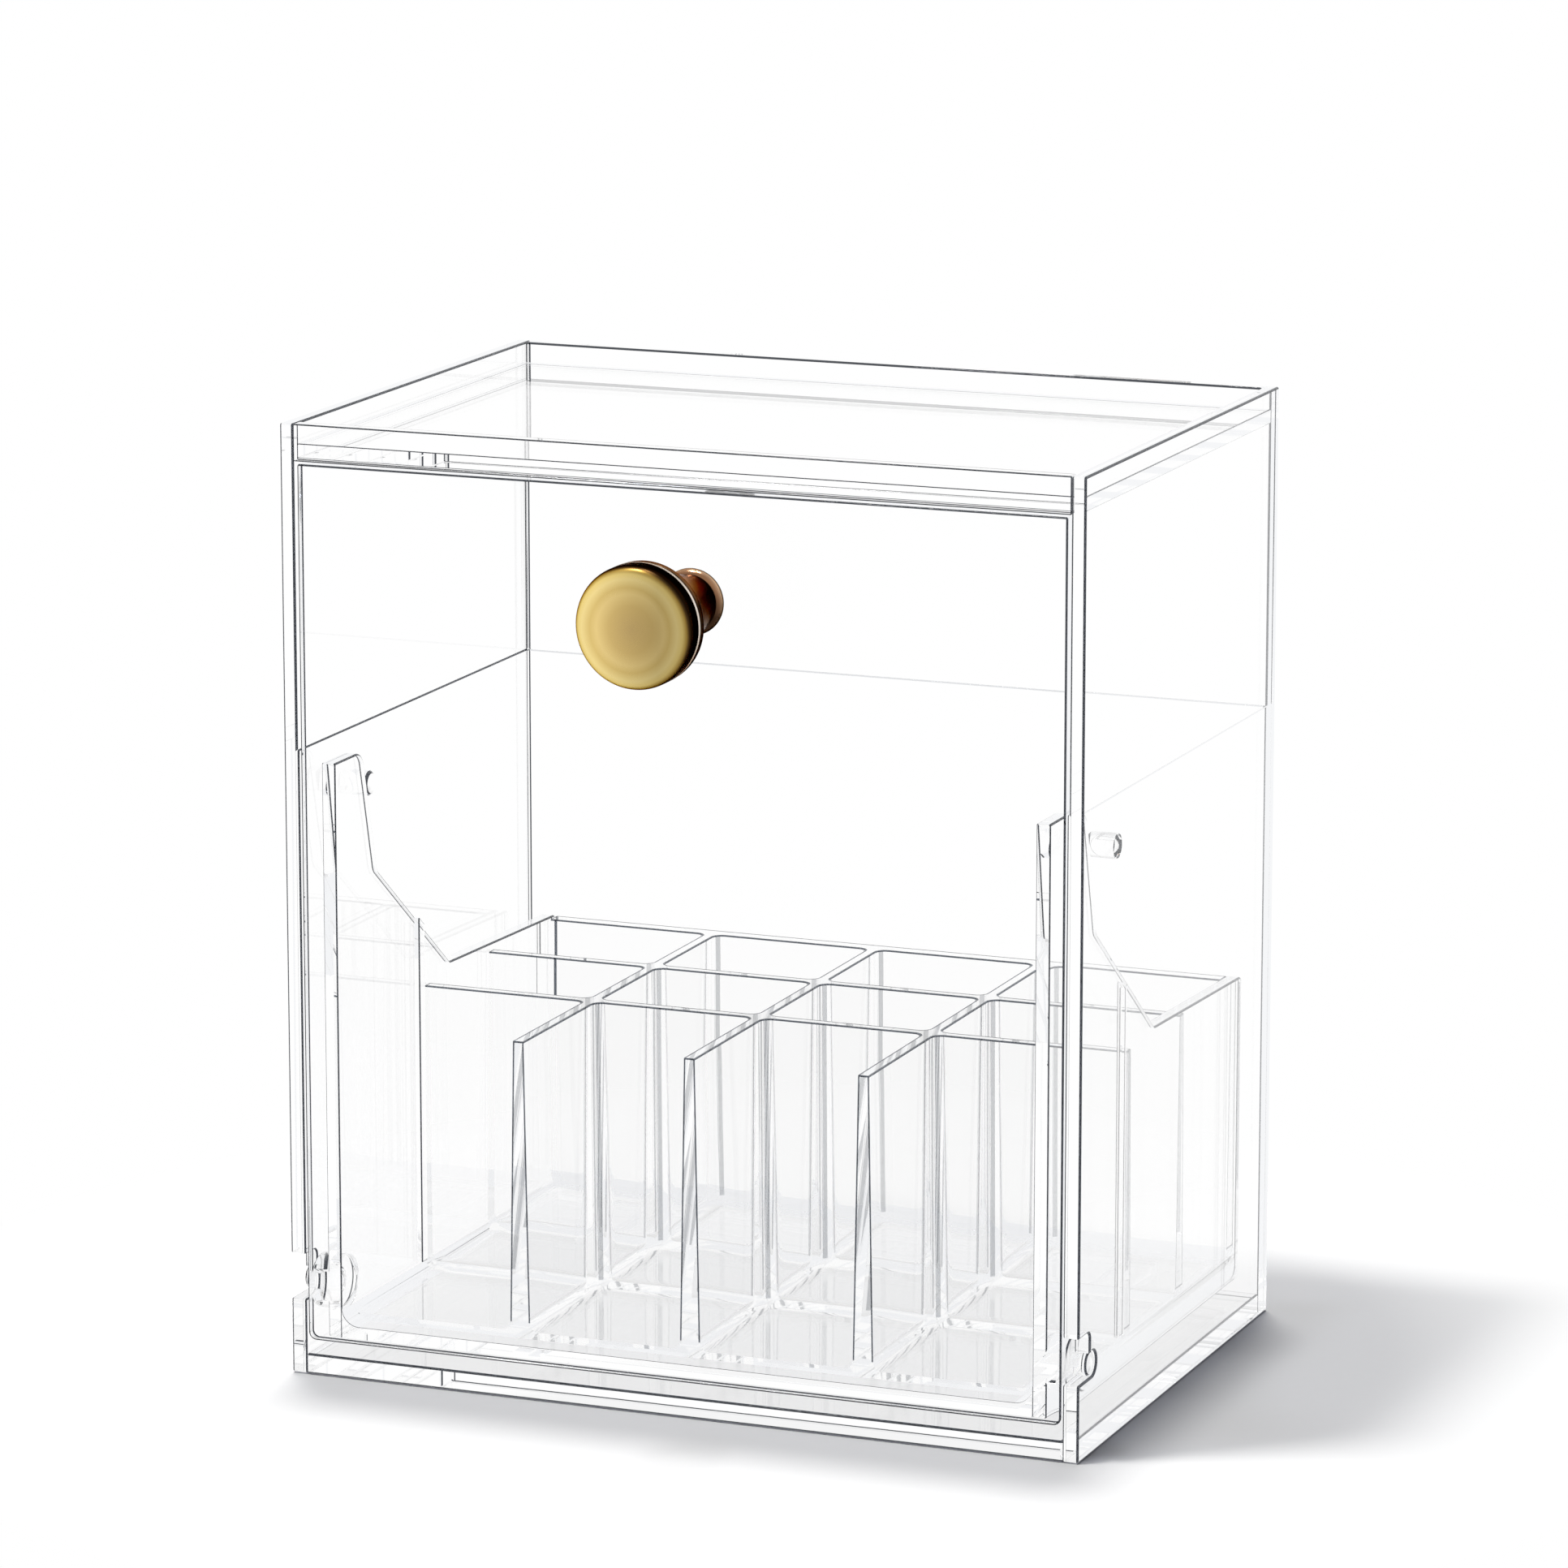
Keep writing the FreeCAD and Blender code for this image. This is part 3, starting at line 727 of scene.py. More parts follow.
def moulded_copy(node: str, arris: float, foot: float) -> bpy.types.Mesh:
    """Copy a CAD node's mesh, merge it, and mark its pocket corners and the strips beside its sharp edges.

    The walls are cut an arris below their tops, and what is left above belongs to the edge. Each outer flat,
    where the mesh touches its own box on the sides, the front, the rear or the top, is inset by the arris,
    and the border so made belongs to the edge too, but for the foot's. A face belongs to a pocket's upright
    round when it is tall, and its normal is turned 30 degrees or more from both level axes.

    Args:
        node: the CAD node's name.
        arris: the strips' width in metres.
        foot: height of the part at the bottom that has no strips, in metres.

    Returns:
        The merged mesh; the strips are marked as edges and the pockets' rounds as faint.
    """
    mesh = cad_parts[node].data.copy()
    mesh.materials.clear()
    open_slots(mesh)
    work = bmesh.new()
    work.from_mesh(mesh)
    bmesh.ops.remove_doubles(work, verts=work.verts, dist=WELD)
    bmesh.ops.dissolve_limit(work, angle_limit=MOULDED_FLAT, verts=work.verts, edges=work.edges)
    points = np.array([vert.co for vert in work.verts])
    low, high = points.min(axis=0), points.max(axis=0)
    bmesh.ops.bisect_plane(work, geom=work.verts[:] + work.edges[:] + work.faces[:], dist=ONE_POINT,
                           plane_co=(0, 0, high[2] - arris), plane_no=(0, 0, 1))
    for face in work.faces:
        heights = [vert.co.z for vert in face.verts]
        turned = min(abs(face.normal.x), abs(face.normal.y)) > POCKET_TURN
        in_pocket = turned and max(heights) - min(heights) > POCKET_TALL
        face.material_index = Mark.FAINT if in_pocket else Mark.FACE
        if min(heights) > high[2] - arris - IN_PLANE:
            face.material_index = Mark.EDGE
    for axis, reach in ((0, low[0]), (0, high[0]), (1, low[1]), (1, high[1]), (2, high[2])):
        flat = [face for face in work.faces
                if all(abs(vert.co[axis] - reach) < IN_PLANE for vert in face.verts)]
        for face in flat:
            face.material_index = Mark.FACE
        border = bmesh.ops.inset_region(work, faces=flat, thickness=arris, use_even_offset=True,
                                        use_boundary=True)
        for face in border["faces"]:
            above_foot = face.calc_center_median().z > low[2] + foot
            face.material_index = Mark.EDGE if above_foot else Mark.FACE
    work.to_mesh(mesh)
    work.free()
    keep_flats_flat(mesh)
    return mesh


def finish_piece(piece: bpy.types.Object, body: Body,
                 finishes: tuple[ClearAcrylic | TurnedBrass, ...], nodes: tuple[str, ...]) -> None:
    """Dress a piece, set it on its body and hide the CAD nodes that it stands for.

    Args:
        piece: the object.
        body: the body it rides on.
        finishes: its finishes in the order of its slots.
        nodes: CAD nodes that it replaces.
    """
    # The faces keep their slots' numbers while the list is filled anew
    numbers = np.zeros(len(piece.data.polygons), np.int32)
    piece.data.polygons.foreach_get("material_index", numbers)
    piece.data.materials.clear()
    for finish in finishes:
        piece.data.materials.append(finish.material())
    piece.data.polygons.foreach_set("material_index", numbers)
    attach(piece, body.value)
    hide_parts(*nodes)
    log.info("%s rides on %s with %d faces", piece.name, body.value, len(piece.data.polygons))


# Sub-assemblies


@dataclass
class Case:
    """Open-fronted case: side walls, back, base, sunk top, header strip and two stop pegs. Millimetres."""

    width: float = 184.0
    depth: float = 127.0
    height: float = 212.0
    wall: float = 3.2
    ledge: float = 0.4
    ledge_z: float = 140.5
    ledge_lap: float = 0.3
    ledge_round: float = 0.34
    back_ledge_round: float = 0.3
    base: float = 4.6
    top: float = 3.2
    rim: float = 4.6
    header_drop: float = 0.4
    arris: float = 0.45
    header_arris: float = 0.28
    hidden_arris: float = 0.32
    bond: float = 0.06
    pivot_depth: float = 8.5
    pivot_z: float = 19.8
    seat_r: float = 2.83
    notch_depth: float = 7.2
    notch_height: float = 10.2
    notch_round: float = 1.6
    peg_r: float = 2.8
    peg_depth: float = 24.5
    peg_z: float = 129.0
    peg_reach: float = 10.0
    peg_chamfer: float = 0.6
    peg_let_in: float = 1.6
    nodes: tuple[str, ...] = ("side_wall_left", "side_wall_right", "back_wall", "base_plate", "top_panel",
                              "front_header", "stop_peg_left", "stop_peg_right")
    sheet: ClearAcrylic = cast_sheet("cast_acrylic_sheet")
    # Painted dark lines round every sheet, standing in for the edges' total reflection
    edge: ClearAcrylic = polished_edge("flame_polished_acrylic_edge", "#131519")
    # A fainter painted line along the back wall's ledge
    step: ClearAcrylic = polished_edge("milled_acrylic_ledge", "#C8CACE", "#C0C2C6")

    @property
    def half(self) -> float:
        """Half the width."""
        return self.width / 2

    @property
    def top_under(self) -> float:
        """Height of the sunk top's underside."""
        return self.height - self.rim - self.top

    def wall_outline(self, top: float) -> np.ndarray:
        """Side wall's outline, with the pivot's notch and its round seat.

        Args:
            top: the outline's upper end.

        Returns:
            Points of (depth, height).
        """
        across = self.pivot_depth - self.notch_depth
        rise = math.sqrt(self.seat_r ** 2 - across ** 2)
        notch_z = self.pivot_z - self.seat_r
        notch_top = notch_z + self.notch_height
        seat = arc((self.notch_depth, self.pivot_z + rise), (self.pivot_depth + self.seat_r, self.pivot_z),
                   (self.pivot_depth, notch_z), 16)
        spare = self.arris + ROUND_SPARE
        wall = rounded_outline([
            (0, notch_z, spare), (0, 0, spare), (self.depth, 0, spare), (self.depth, top, spare),
            (0, top, spare), (0, notch_top, spare), (self.notch_depth, notch_top, self.notch_round),
            (self.notch_depth, self.pivot_z + rise, 0), (self.pivot_depth, notch_z, 0)])
        # The seat's arc goes in between the two corners that it shares with the wall
        start, end = (int(np.argmin(np.abs(wall - np.array(corner)).sum(axis=1)))
                      for corner in (seat[0], seat[-1]))
        wall = np.roll(wall, -min(start, end) - 1, axis=0)
        between = seat[1:-1] if start < end else seat[-2:0:-1]
        return wound(np.concatenate([wall, np.array(between)]))

    def side_wall(self, side: int) -> list[bpy.types.Mesh]:
        """One side wall: the sheet, and below the ledge its thicker part.

        Args:
            side: 1 for the right, -1 for the left.

        Returns:
            Two overlapping plates.
        """
        inner = self.half - self.wall
        spans = [(inner, self.half, self.height, self.arris),
                 (inner - self.ledge, inner + self.arris + self.ledge_lap, self.ledge_z, self.ledge_round)]
        return [plate_mesh("side_wall", self.wall_outline(top), *sorted((side * x0, side * x1)), Across.X,
                           arris) for x0, x1, top, arris in spans]

    def block(self, x: float, depths: Point, heights: Point, across: Across, arris: float | None = None,
              faint_top: bool = False) -> bpy.types.Mesh:
        """Plate between the side walls, let into them by the bond.

        Args:
            x: half its width.
            depths: its front and its rear.
            heights: its underside and its top.
            across: the axis of its thickness.
            arris: radius of its rounded edges, where it isn't the case's own.
            faint_top: whether the rounds along its top draw a fainter painted line.

        Returns:
            The plate.
        """
        x += self.bond
        upright, span = (heights, depths) if across is Across.Y else (depths, heights)
        arris = arris or self.arris
        spare = arris + ROUND_SPARE
        outline = rounded_outline([(-x, upright[0], spare), (x, upright[0], spare), (x, upright[1], spare),
                                   (-x, upright[1], spare)], 3)
        return plate_mesh("plate", outline, *span, across, arris, faint_top)

    def peg(self, side: int) -> bpy.types.Mesh:
        """Stop peg with a chamfered end, let into the wall.

        Args:
            side: 1 for the right, -1 for the left.

        Returns:
            The turned peg.
        """
        length = self.peg_reach - self.wall - self.ledge + self.peg_let_in
        profile = [(0, 0), (0, self.peg_r - self.peg_chamfer), (self.peg_chamfer, self.peg_r),
                   (length, self.peg_r), (length, 0)]
        start = Vector((side * (self.half - self.peg_reach), FRONT_MM + self.peg_depth, self.peg_z)) * MM
        return turned_mesh("peg", profile, 40, outward(side), start, PIN_ROUND)

    def build(self) -> None:
        """Bond the plates and pegs and dress the shell."""
        upper_half, back = self.half - self.wall, self.depth - self.wall
        low_half, low_back = upper_half - self.ledge, self.depth - (self.wall + self.ledge)
        parts = self.side_wall(1) + self.side_wall(-1) + [
            self.block(upper_half, (back, self.depth), (0, self.height), Across.Y),
            self.block(low_half, (low_back, back + self.arris + self.ledge_lap), (0, self.ledge_z), Across.Y,
                       self.back_ledge_round, faint_top=True),
            self.block(low_half, (0, low_back + self.bond), (0, self.base), Across.Z),
            self.block(upper_half, (self.wall - self.bond, back + self.bond),
                       (self.top_under, self.top_under + self.top), Across.Z, self.hidden_arris),
            self.block(upper_half, (0, self.wall), (self.top_under - self.header_drop, self.height), Across.Y,
                       self.header_arris),
            self.peg(1), self.peg(-1)]
        shell = bonded("case_shell", parts)
        finish_piece(shell, Body.CASE, (self.sheet, self.edge, self.step), self.nodes)


@dataclass
class Bin:
    """Tip-out bin: full-height front, shaped cheeks, coved floor, runner feet, pivot studs. Millimetres."""

    panel_half: float = 88.0
    panel_z: float = 7.8
    panel_top: float = 203.3
    panel: float = 3.3
    toe_round: float = 1.8
    panel_round: float = 0.5
    cheek_in: float = 80.8
    cheek_out: float = 84.0
    floor_z: float = 8.4
    floor_top: float = 11.2
    floor_arris: float = 0.2
    cove: float = 4.0
    rear: float = 122.2
    rear_round: float = 3.0
    wing_z: float = 78.5
    wing_round: float = 1.5
    elbow: Point = (62.5, 80.5)
    neck: Point = (24.5, 109.5)
    neck_round: float = 3.0
    shoulder: Point = (17.5, 137.6)
    shoulder_round: float = 4.0
    bonded_round: float = 0.4
    rib: Point = (43.5, 46.5)
    rib_stands: float = 1.2
    rib_let_in: float = 0.5
    rib_round: float = 0.3
    rib_arris: float = 0.25
    foot_x: float = 60.8
    foot_half: float = 4.0
    foot_long: float = 26.0
    foot_from_rear: float = 5.0
    foot_z: float = 4.8
    foot_round: float = 1.2
    foot_let_in: float = 1.0
    foot_arris: float = 0.8
    stud_x: float = 83.6
    boss: Point = (4.4, 6.2)
    boss_chamfer: float = 0.35
    pin: Point = (7.9, 2.75)
    pin_chamfer: float = 0.4
    pivot: Point = (8.5, 19.8)
    arris: float = 0.38
    bond: float = 0.06
    nodes: tuple[str, ...] = ("front_panel", "bin_cheek_left", "bin_cheek_right", "bin_floor",
                              "pivot_stud_left", "pivot_stud_right")
    sheet: ClearAcrylic = cast_sheet("cast_acrylic_bin_sheet")
    # Painted dark lines round every sheet, standing in for the edges' total reflection
    edge: ClearAcrylic = polished_edge("flame_polished_bin_edge", "#131519")

    def front(self) -> bpy.types.Mesh:
        """Full-height front with rounded lower corners.

        Returns:
            The panel.
        """
        h = self.panel_half
        outline = rounded_outline([
            (-h, self.panel_z, self.toe_round), (h, self.panel_z, self.toe_round),
            (h, self.panel_top, self.panel_round), (-h, self.panel_top, self.panel_round)])
        return plate_mesh("front", outline, 0, self.panel, Across.Y, self.arris)

    def cheek(self, side: int) -> list[bpy.types.Mesh]:
        """Cheek with its shoulder, sloping edge and wing, and the rib that holds the rack.

        Args:
            side: 1 for the right, -1 for the left.

        Returns:
            The cheek and its rib.
        """
        (elbow, elbow_z), (neck, neck_z) = self.elbow, self.neck
        start = self.panel - self.bond
        outline = rounded_outline([
            (start, self.floor_z, self.bonded_round), (self.rear, self.floor_z, self.rear_round),
            (self.rear, self.wing_z, self.wing_round), (elbow, elbow_z, self.wing_round),
            (neck, neck_z, self.neck_round), (*self.shoulder, self.shoulder_round),
            (start, self.shoulder[1], self.bonded_round)], 8)
        # The rib's top follows the sloping edge between elbow and neck
        slope = (neck_z - elbow_z) / (elbow - neck)
        foot = self.floor_top + self.cove
        rib = [(self.rib[0], foot), (self.rib[1], foot)]
        rib += [(depth, neck_z - slope * (depth - neck)) for depth in self.rib[::-1]]
        rib_outline = rounded_outline([(*corner, self.rib_round) for corner in rib], 3)
        x0, x1 = sorted((side * self.cheek_in, side * self.cheek_out))
        r0, r1 = sorted((side * (self.cheek_in - self.rib_stands), side * (self.cheek_in + self.rib_let_in)))
        return [plate_mesh("cheek", outline, x0, x1, Across.X, self.arris),
                plate_mesh("rib", rib_outline, r0, r1, Across.X, self.rib_arris)]

    def floor(self) -> bpy.types.Mesh:
        """Floor whose side edges rise in a cove to the cheeks.

        Returns:
            The floor.
        """
        h, bend = self.cheek_in + self.bond, self.cove * math.sqrt(0.5)
        inner, top = self.cheek_in - self.cove, self.floor_top + self.cove
        right = arc((h, top), (inner + bend, top - bend), (inner, self.floor_top), 10)
        left = [(-x, z) for x, z in right[::-1]]
        outline = wound(np.array([(-h, self.floor_z), (h, self.floor_z)] + right + left))
        return plate_mesh("floor", outline, self.panel - self.bond, self.rear, Across.Y, self.floor_arris)

    def foot(self, side: int) -> bpy.types.Mesh:
        """Low rounded runner under the floor.

        Args:
            side: 1 for the right, -1 for the left.

        Returns:
            The runner.
        """
        x, rear = side * self.foot_x, self.rear - self.foot_from_rear
        left, right, front = x - self.foot_half, x + self.foot_half, rear - self.foot_long
        corners = [(left, front), (right, front), (right, rear), (left, rear)]
        outline = rounded_outline([(*corner, self.foot_round) for corner in corners])
        return plate_mesh("foot", outline, self.foot_z, self.floor_z + self.foot_let_in, Across.Z,
                          self.foot_arris)

    def stud(self, side: int) -> bpy.types.Mesh:
        """Pivot stud: boss across the gap, then the pin.

        Args:
            side: 1 for the right, -1 for the left.

        Returns:
            The turned stud.
        """
        (boss_end, boss_r), (pin_end, pin_r) = self.boss, self.pin
        boss = [(0, boss_r), (boss_end - self.boss_chamfer, boss_r), (boss_end, boss_r - self.boss_chamfer)]
        pin = [(boss_end, pin_r), (pin_end - self.pin_chamfer, pin_r), (pin_end, pin_r - self.pin_chamfer)]
        profile = [(0, 0), *boss, *pin, (pin_end, 0)]
        start = Vector((side * self.stud_x, FRONT_MM + self.pivot[0], self.pivot[1])) * MM
        return turned_mesh("stud", profile, 48, outward(side), start, PIN_ROUND)

    def build(self) -> None:
        """Bond the plates and studs and dress the shell."""
        parts = [self.front(), *self.cheek(1), *self.cheek(-1), self.floor(), self.foot(1), self.foot(-1),
                 self.stud(1), self.stud(-1)]
        shell = bonded("bin_shell", parts)
        finish_piece(shell, Body.BIN, (self.sheet, self.edge), self.nodes)


@dataclass
class Rack:
    """Loose divider rack, injection moulded with draft and rounded pockets.

    Its IOR is lower than real acrylic's, so that its walls can be read through the panel.
    """

    arris: float = 0.34 * MM
    foot: float = 4.0 * MM
    # Soft, slightly hazy walls
    plastic: ClearAcrylic = ClearAcrylic("moulded_acrylic_rack", "#FDFDFD", "#D8D9DD", roughness=0.02,
                                         ripple_mm=25, ripple_height=0.02, ior=1.2)
    # Painted dark lines along the walls' tops and outer ends
    edge: ClearAcrylic = polished_edge("moulded_rack_edge", "#23272E", "#80838C", 1.2)
    # Painted grey bands where the pockets' upright corners bend the light
    corner: ClearAcrylic = ClearAcrylic("moulded_rack_pocket_corner", "#FDFDFD", "#C8CAD0", roughness=0.03,
                                        ripple_mm=8, ripple_height=0.01, line="#A4A6A9", ior=1.2,
                                        line_depth=9)

    def build(self) -> None:
        """Merge the moulding, mark its edges and dress it."""
        piece = link("rack_moulding", moulded_copy("divider_rack", self.arris, self.foot))
        finish_piece(piece, Body.RACK, (self.plastic, self.edge, self.corner), ("divider_rack",))


@dataclass
class Knob:
    """Turned brass knob: dished cap, bead, waisted neck and half-round collar. Millimetres."""

    axis_x: float = 4.5
    axis_z: float = 180.0
    length: float = 34.5
    head_r: float = 13.2
    cap_deep: float = 6.6
    roll: float = 2.4
    land: float = 1.2
    dish: float = 0.9
    step: Point = (0.25, 12.3)
    spigot: Point = (1.4, 6.0)
    spigot_play: float = 0.03
    cap_gap: float = 0.02
    bead_deep: float = 2.6
    bead_crest: float = 1.0
    bead_radii: tuple[float, float, float] = (12.5, 13.1, 11.9)
    neck_radii: tuple[float, float, float] = (11.6, 7.7, 6.2)
    waist_share: float = 0.35
    bore: Point = (13.0, 2.05)
    collar_deep: float = 3.0
    collar_r: float = 7.2
    collar_hole: float = 2.3
    turn_round: float = 0.12
    collar_round: float = 0.08
    sharp: float = math.radians(35)
    segments: int = 128
    # Face: pale brass, with a painted reflection that is brightest near the rim, and a dark rim of painted
    # shade
    face_tones: Tones = (
        (0.0, "#CDAF72"), (5.0, "#D8BA76"), (7.6, "#EACE88"), (9.0, "#DFC278"), (10.8, "#F4DC94"),
        (11.9, "#EFD482"), (12.6, "#BC9A4C"), (13.0, "#5A4222"), (13.3, "#1A1008"), (14.2, "#120B06"))
    # Cap's side: painted shade, nearly black, with a painted highlight line along its rear edge
    cap_tones: Tones = ((27.8, "#3A2718"), (28.5, "#2A1C10"), (28.7, "#FFF8EE"), (29.35, "#FFF8EE"),
                        (29.6, "#140D07"), (31.8, "#1A1008"), (34.5, "#3A2A12"))
    # Neck and bead: copper brown, with a painted highlight palest short of the bead, and dark in the turns
    neck_tones: Tones = (
        (2.8, "#1A100A"), (3.6, "#22160E"), (6.0, "#8A6448"), (12.0, "#D09C74"), (20.0, "#FFDDB8"),
        (24.5, "#E8B890"), (25.6, "#4A3220"), (26.6, "#9A6E4A"), (28.0, "#2E1E12"))
    # Collar: dark, with a painted highlight on its crest
    collar_tones: Tones = ((0.0, "#0C0704"), (1.2, "#140B06"), (1.9, "#E0BA98"), (2.6, "#A87C5C"),
                           (3.4, "#22160E"))
    # The ways from the axis to the sides that the painted shade spares: the cap is darker on the right, and
    # the rest is dark below
    cap_painted_light_from: Point = (-1.0, 0.0)
    painted_light_from: Point = (-0.2, 0.98)
    cap_finish: TurnedBrass = field(init=False)
    neck_finish: TurnedBrass = field(init=False)
    collar_finish: TurnedBrass = field(init=False)

    def __post_init__(self) -> None:
        """Set the finishes that need the axis."""
        axis = (self.axis_x * MM, self.axis_z * MM)
        # The cap's face and side, the neck and the collar have painted highlights and painted shade in their
        # tones
        self.cap_finish = TurnedBrass(
            "antique_brass_face_painted_light", self.cap_tones, roughness=0.3, grazing="#8C6A48", axis=axis,
            painted_light_from=self.cap_painted_light_from, shade_mm=(-6.0, 8.0), shade_share=0.46, face=self.face_tones,
            rim_mm=self.head_r, painted_crescent_shift=(-0.3, -0.3))
        self.neck_finish = TurnedBrass(
            "antique_brass_neck", self.neck_tones, roughness=0.2, grazing="#8A6A50", axis=axis,
            painted_light_from=self.painted_light_from, shade_mm=(2.0, 6.5), shade_share=0.955)
        self.collar_finish = TurnedBrass(
            "antique_brass_collar", self.collar_tones, roughness=0.2, grazing="#5A4230", axis=axis,
            painted_light_from=self.painted_light_from, shade_mm=(-4.0, 4.0), shade_share=0.93)

    @property
    def centre(self) -> Vector:
        """Where the axis meets the panel's front face."""
        return Vector((self.axis_x, FRONT_MM, self.axis_z)) * MM

    def piece(self, name: str, profile: Profile, finish: TurnedBrass, round_mm: float) -> None:
        """Turn one piece of the knob and dress it.

        Args:
            name: the CAD node, whose place it takes.
            profile: (reach, radius) points in millimetres.
            finish: its finish.
            round_mm: round on its sharp turns.
        """
        mesh = turned_mesh(name + "_turned", profile, self.segments, Way.FORWARD, self.centre)
        piece = link(name + "_turned", mesh)
        for face in mesh.polygons:
            face.use_smooth = True
        mesh.set_sharp_from_angle(angle=self.sharp)
        piece.visible_shadow = False
        bevel = piece.modifiers.new("round", "BEVEL")
        bevel.limit_method, bevel.angle_limit = "ANGLE", self.sharp
        bevel.width, bevel.segments = round_mm * MM, 2
        finish_piece(piece, Body.BIN, (finish,), (name,))

    def build(self) -> None:
        """Turn the cap, the body and the collar."""
        front, back = self.length, self.length - self.cap_deep
        rim, bend = self.head_r - self.roll, self.roll * math.sqrt(0.5)
        dish_r = rim - self.land
        dish = arc((front - self.dish, 0), (front - 0.75 * self.dish, dish_r / 2), (front, dish_r), 14)
        edge = arc((front, rim), (front - self.roll + bend, rim + bend), (front - self.roll, self.head_r), 12)
        (step, step_r), (spigot, spigot_r) = self.step, self.spigot
        cap = dish + edge + [
            (back + step, self.head_r), (back + step, step_r), (back, step_r), (back, spigot_r),
            (back - spigot, spigot_r), (back - spigot, 0)]
        self.piece("knob_cap", cap, self.cap_finish, self.turn_round)
        bead_front, bead_back = back - self.cap_gap, back - self.bead_deep
        root = self.collar_deep
        waist = root + self.waist_share * (bead_back - root)
        bead = arc(*zip((bead_front, back - self.bead_crest, bead_back), self.bead_radii), 16)
        neck = arc(*zip((bead_back, waist, root), self.neck_radii), 24)
        socket, socket_r = back - spigot - self.spigot_play, spigot_r + self.spigot_play
        bore, bore_r = self.bore
        body = [(socket, 0), (socket, socket_r), (bead_front, socket_r)] + bead + neck + [
            (root, bore_r), (bore, bore_r), (bore, 0)]
        self.piece("knob_body", body, self.neck_finish, self.turn_round)
        round_r = self.collar_deep / 2
        side_r = self.collar_r - round_r
        half_round = arc((0, side_r), (round_r, self.collar_r), (root, side_r), 14)
        collar = [(0, self.collar_hole)] + half_round + [(root, self.collar_hole), (0, self.collar_hole)]
        self.piece("knob_rosette", collar, self.collar_finish, self.collar_round)


@dataclass(frozen=True)
class Key:
    """A distant soft light: the way it shines, its strength and its angle in degrees."""

    way: Corner
    strength: float
    degrees: float


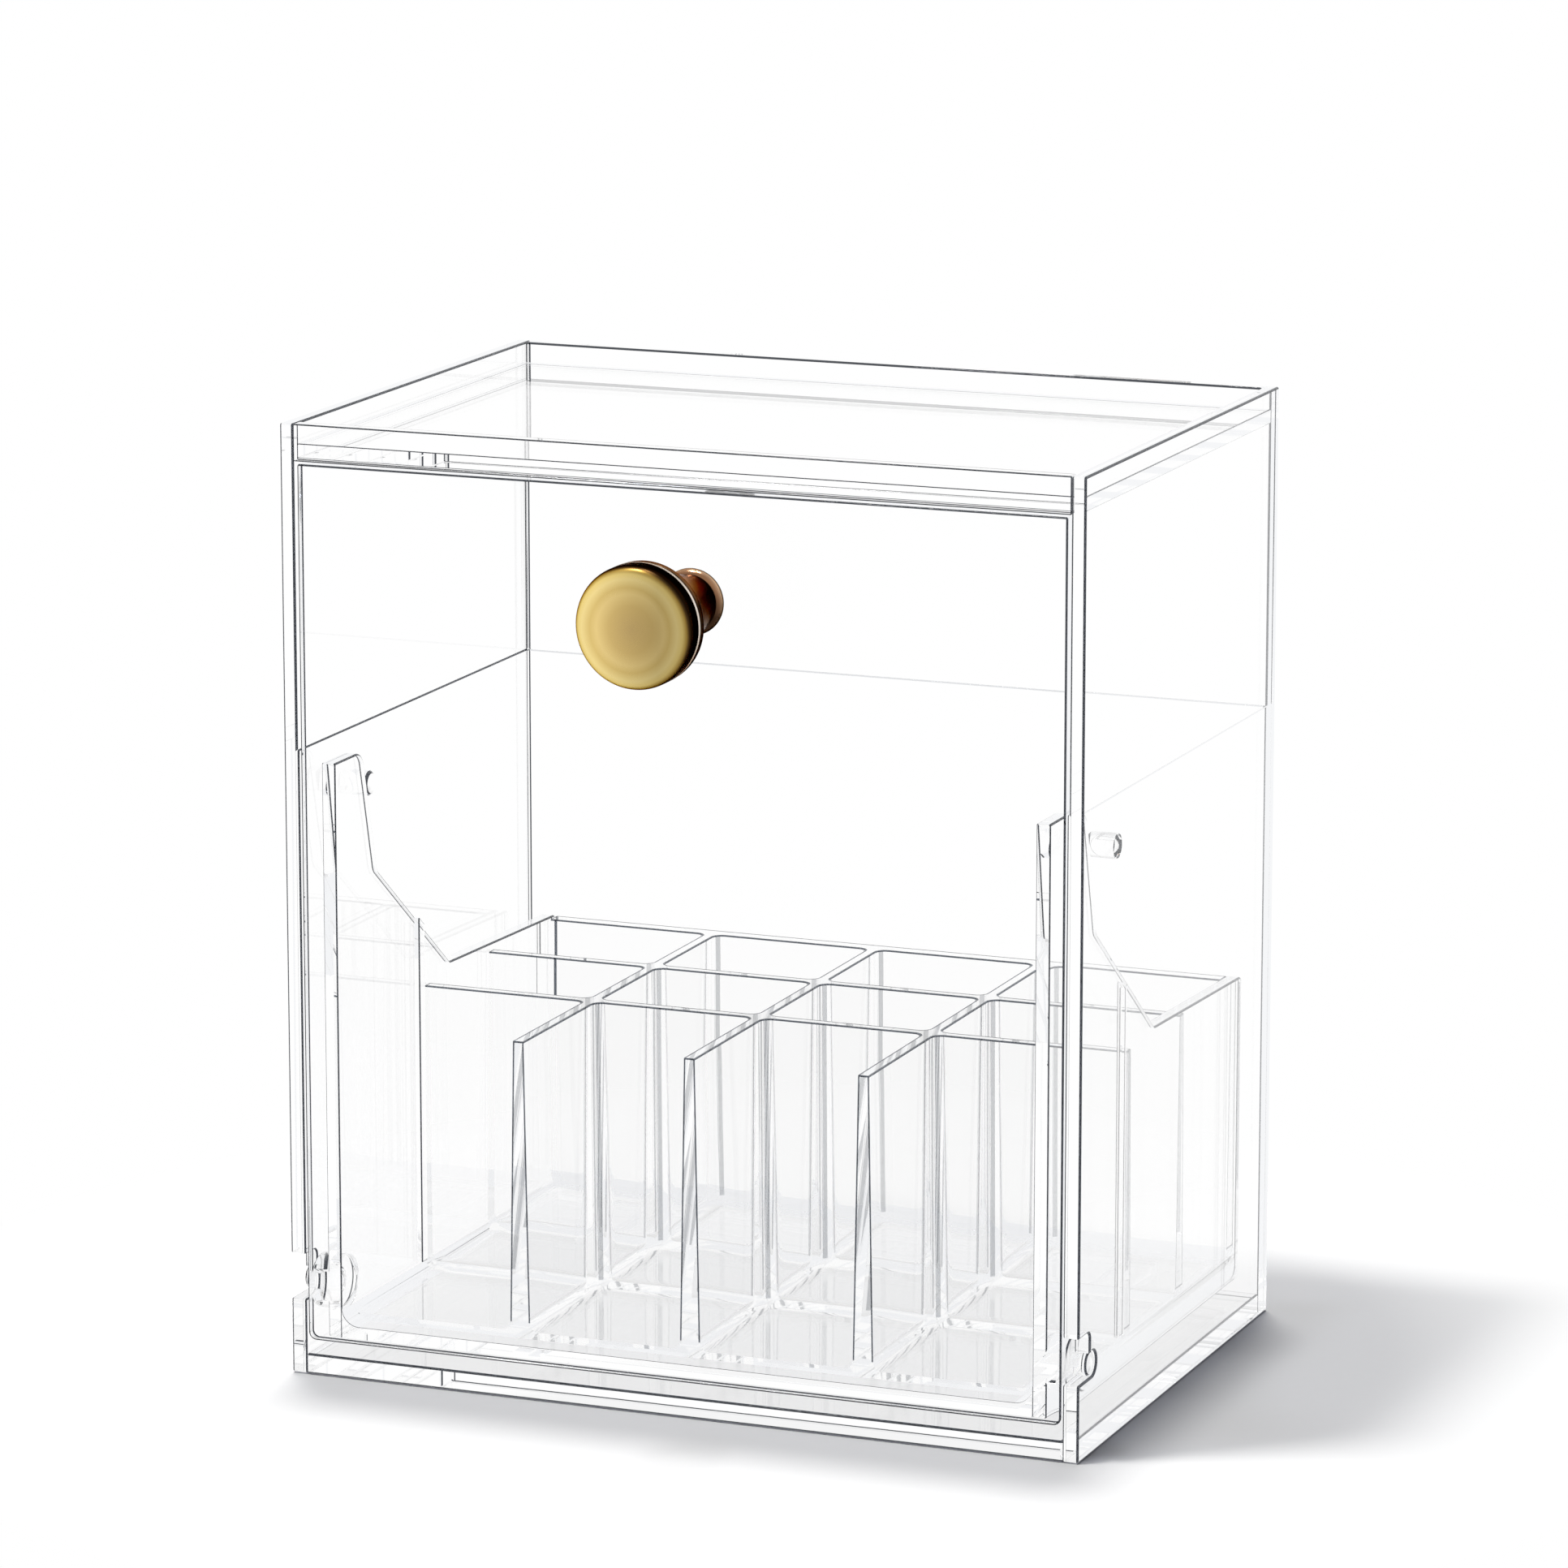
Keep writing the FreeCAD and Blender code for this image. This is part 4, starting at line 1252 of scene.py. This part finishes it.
@dataclass
class Studio:
    """White sweep, two soft keys from nearly overhead, and an even white surround. Metres."""

    yaw: float = math.radians(21.872)
    pitch: float = math.radians(12.114)
    place: Corner = (0.6077, -1.5154, 0.4778)
    focal_px: float = 9335.8
    image_px: float = 1932.0
    sensor_mm: float = 36.0
    clip: Point = (0.05, 100.0)
    # The broad key leans in from the left and front, and the narrower one from a little behind
    keys: tuple[Key, ...] = (Key((62.0, 40.0, -212.0), 1.8, 8.0), Key((9.0, -22.0, -212.0), 1.6, 6.0))
    surround: float = 0.1
    zenith_span: Point = (0.45, 0.9)
    zenith_grey: float = 0.6
    seen_white: float = 0.8
    floor_half: float = 15.0
    floor_drop: float = 0.0002
    floor_fade: Point = (0.135, 0.21)
    paper: tuple[Corner, Corner] = ((0.93, 0.93, 0.935), (0.95, 0.95, 0.95))
    grain_mm: float = 2.5
    bounces: int = 20
    clear_passes: int = 64

    def camera(self) -> None:
        """Set the camera where the photograph's own fitted camera stood."""
        data = bpy.data.cameras.new("camera")
        data.sensor_width = self.sensor_mm
        data.lens = self.focal_px / self.image_px * data.sensor_width
        data.clip_start, data.clip_end = self.clip
        camera = bpy.data.objects.new("camera", data)
        camera.location = self.place
        level = math.cos(self.pitch)
        self.aim(camera, (-math.sin(self.yaw) * level, math.cos(self.yaw) * level, -math.sin(self.pitch)))
        bpy.context.scene.camera = camera

    def aim(self, thing: bpy.types.Object, way: Corner) -> None:
        """Turn a camera or a lamp to look along a way, and put it into the scene.

        Args:
            thing: the camera or the lamp.
            way: the way it looks.
        """
        thing.rotation_mode = "QUATERNION"
        thing.rotation_quaternion = Vector(way).to_track_quat("-Z", "Y")
        bpy.context.scene.collection.objects.link(thing)

    def hang_keys(self) -> None:
        """Hang the two distant key lights."""
        for number, key in enumerate(self.keys):
            data = bpy.data.lights.new(f"key_{number}", "SUN")
            data.energy, data.angle = key.strength, math.radians(key.degrees)
            self.aim(bpy.data.objects.new(f"key_{number}", data), key.way)

    def world(self) -> None:
        """White to the camera, and to clear and polished surfaces, with a grey zenith that draws edges."""
        world = bpy.data.worlds.new("surround")
        bpy.context.scene.world = world
        world.use_nodes = True
        tree = world.node_tree
        tree.nodes.clear()
        path = add(tree, "ShaderNodeLightPath")
        way = add(tree, "ShaderNodeTexCoord").outputs["Generated"]
        up = add(tree, "ShaderNodeSeparateXYZ", {"Vector": way}).outputs["Z"]
        zenith = graded(tree, up, self.zenith_span, (1.0, self.zenith_grey))
        plain = add(tree, "ShaderNodeMix", {0: mirrored_or_bent(tree, path), 2: self.surround, 3: zenith},
                    data_type="FLOAT")
        level = maths(tree, "MAXIMUM", plain.outputs[0], path.outputs["Is Camera Ray"])
        sky = add(tree, "ShaderNodeBackground", {"Color": (1, 1, 1, 1), "Strength": level})
        add(tree, "ShaderNodeOutputWorld", {"Surface": sky.outputs["Background"]})

    def floor_paper(self) -> bpy.types.Material:
        """Build the floor's matt white paper.

        Returns:
            Paper that keeps the object's shadow and turns to plain white far away.
        """
        material, tree = empty_material("white_paper_floor")
        place = object_place(tree)
        grain = noise(tree, place, self.grain_mm, 2.0)
        paper = add(tree, "ShaderNodeBsdfPrincipled", {
            "Base Color": blend(tree, grain, *((*shade, 1) for shade in self.paper)), "Roughness": 0.9,
            "Specular IOR Level": 0.0})
        white = add(tree, "ShaderNodeEmission", {"Color": (1, 1, 1, 1), "Strength": 1.0})
        fade = graded(tree, vector_maths(tree, "LENGTH", place), self.floor_fade)
        # Clear and polished surfaces show the white sweep with a light trace of the shadow
        seen = mirrored_or_bent(tree, add(tree, "ShaderNodeLightPath"))
        white_share = maths(tree, "MAXIMUM", fade, maths(tree, "MULTIPLY", seen, self.seen_white))
        sheet = blend_shaders(tree, white_share, paper.outputs["BSDF"], white.outputs["Emission"])
        add(tree, "ShaderNodeOutputMaterial", {"Surface": sheet})
        return material

    def floor(self) -> None:
        """Lay the white floor just under the case."""
        mesh = bpy.data.meshes.new("floor")
        half = self.floor_half
        corners = [(-half, -half, 0), (half, -half, 0), (half, half, 0), (-half, half, 0)]
        mesh.from_pydata(corners, [], [(0, 1, 2, 3)])
        mesh.materials.append(self.floor_paper())
        piece = link("floor", mesh)
        piece.location.z = -self.floor_drop

    def build(self) -> None:
        """Set the view, light, surround and floor."""
        scene = bpy.context.scene
        scene.view_settings.view_transform = "Standard"
        # Light crosses about twenty faces of clear sheet here
        scene.cycles.max_bounces = self.bounces
        scene.cycles.transmission_bounces = self.bounces
        scene.cycles.glossy_bounces = self.bounces
        scene.cycles.transparent_max_bounces = self.clear_passes
        scene.cycles.caustics_refractive = False
        scene.cycles.caustics_reflective = False
        self.camera()
        self.hang_keys()
        self.world()
        self.floor()


def dress_node(node: str, material: bpy.types.Material) -> None:
    """Give a CAD node that stays its material.

    Args:
        node: the node's name.
        material: its material.
    """
    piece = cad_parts[node]
    for holder in piece.material_slots:
        holder.link = "OBJECT"
        holder.material = material


def main() -> None:
    logging.basicConfig(level=logging.INFO, format="%(name)s: %(message)s")
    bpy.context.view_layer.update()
    Case().build()
    Bin().build()
    Rack().build()
    Knob().build()
    zinc = PlatedSteel("zinc_plated_steel_screw").material()
    for node in ("knob_screw", "knob_washer"):
        dress_node(node, zinc)
    Studio().build()
    bpy.context.view_layer.update()


if __name__ == "__main__":
    main()
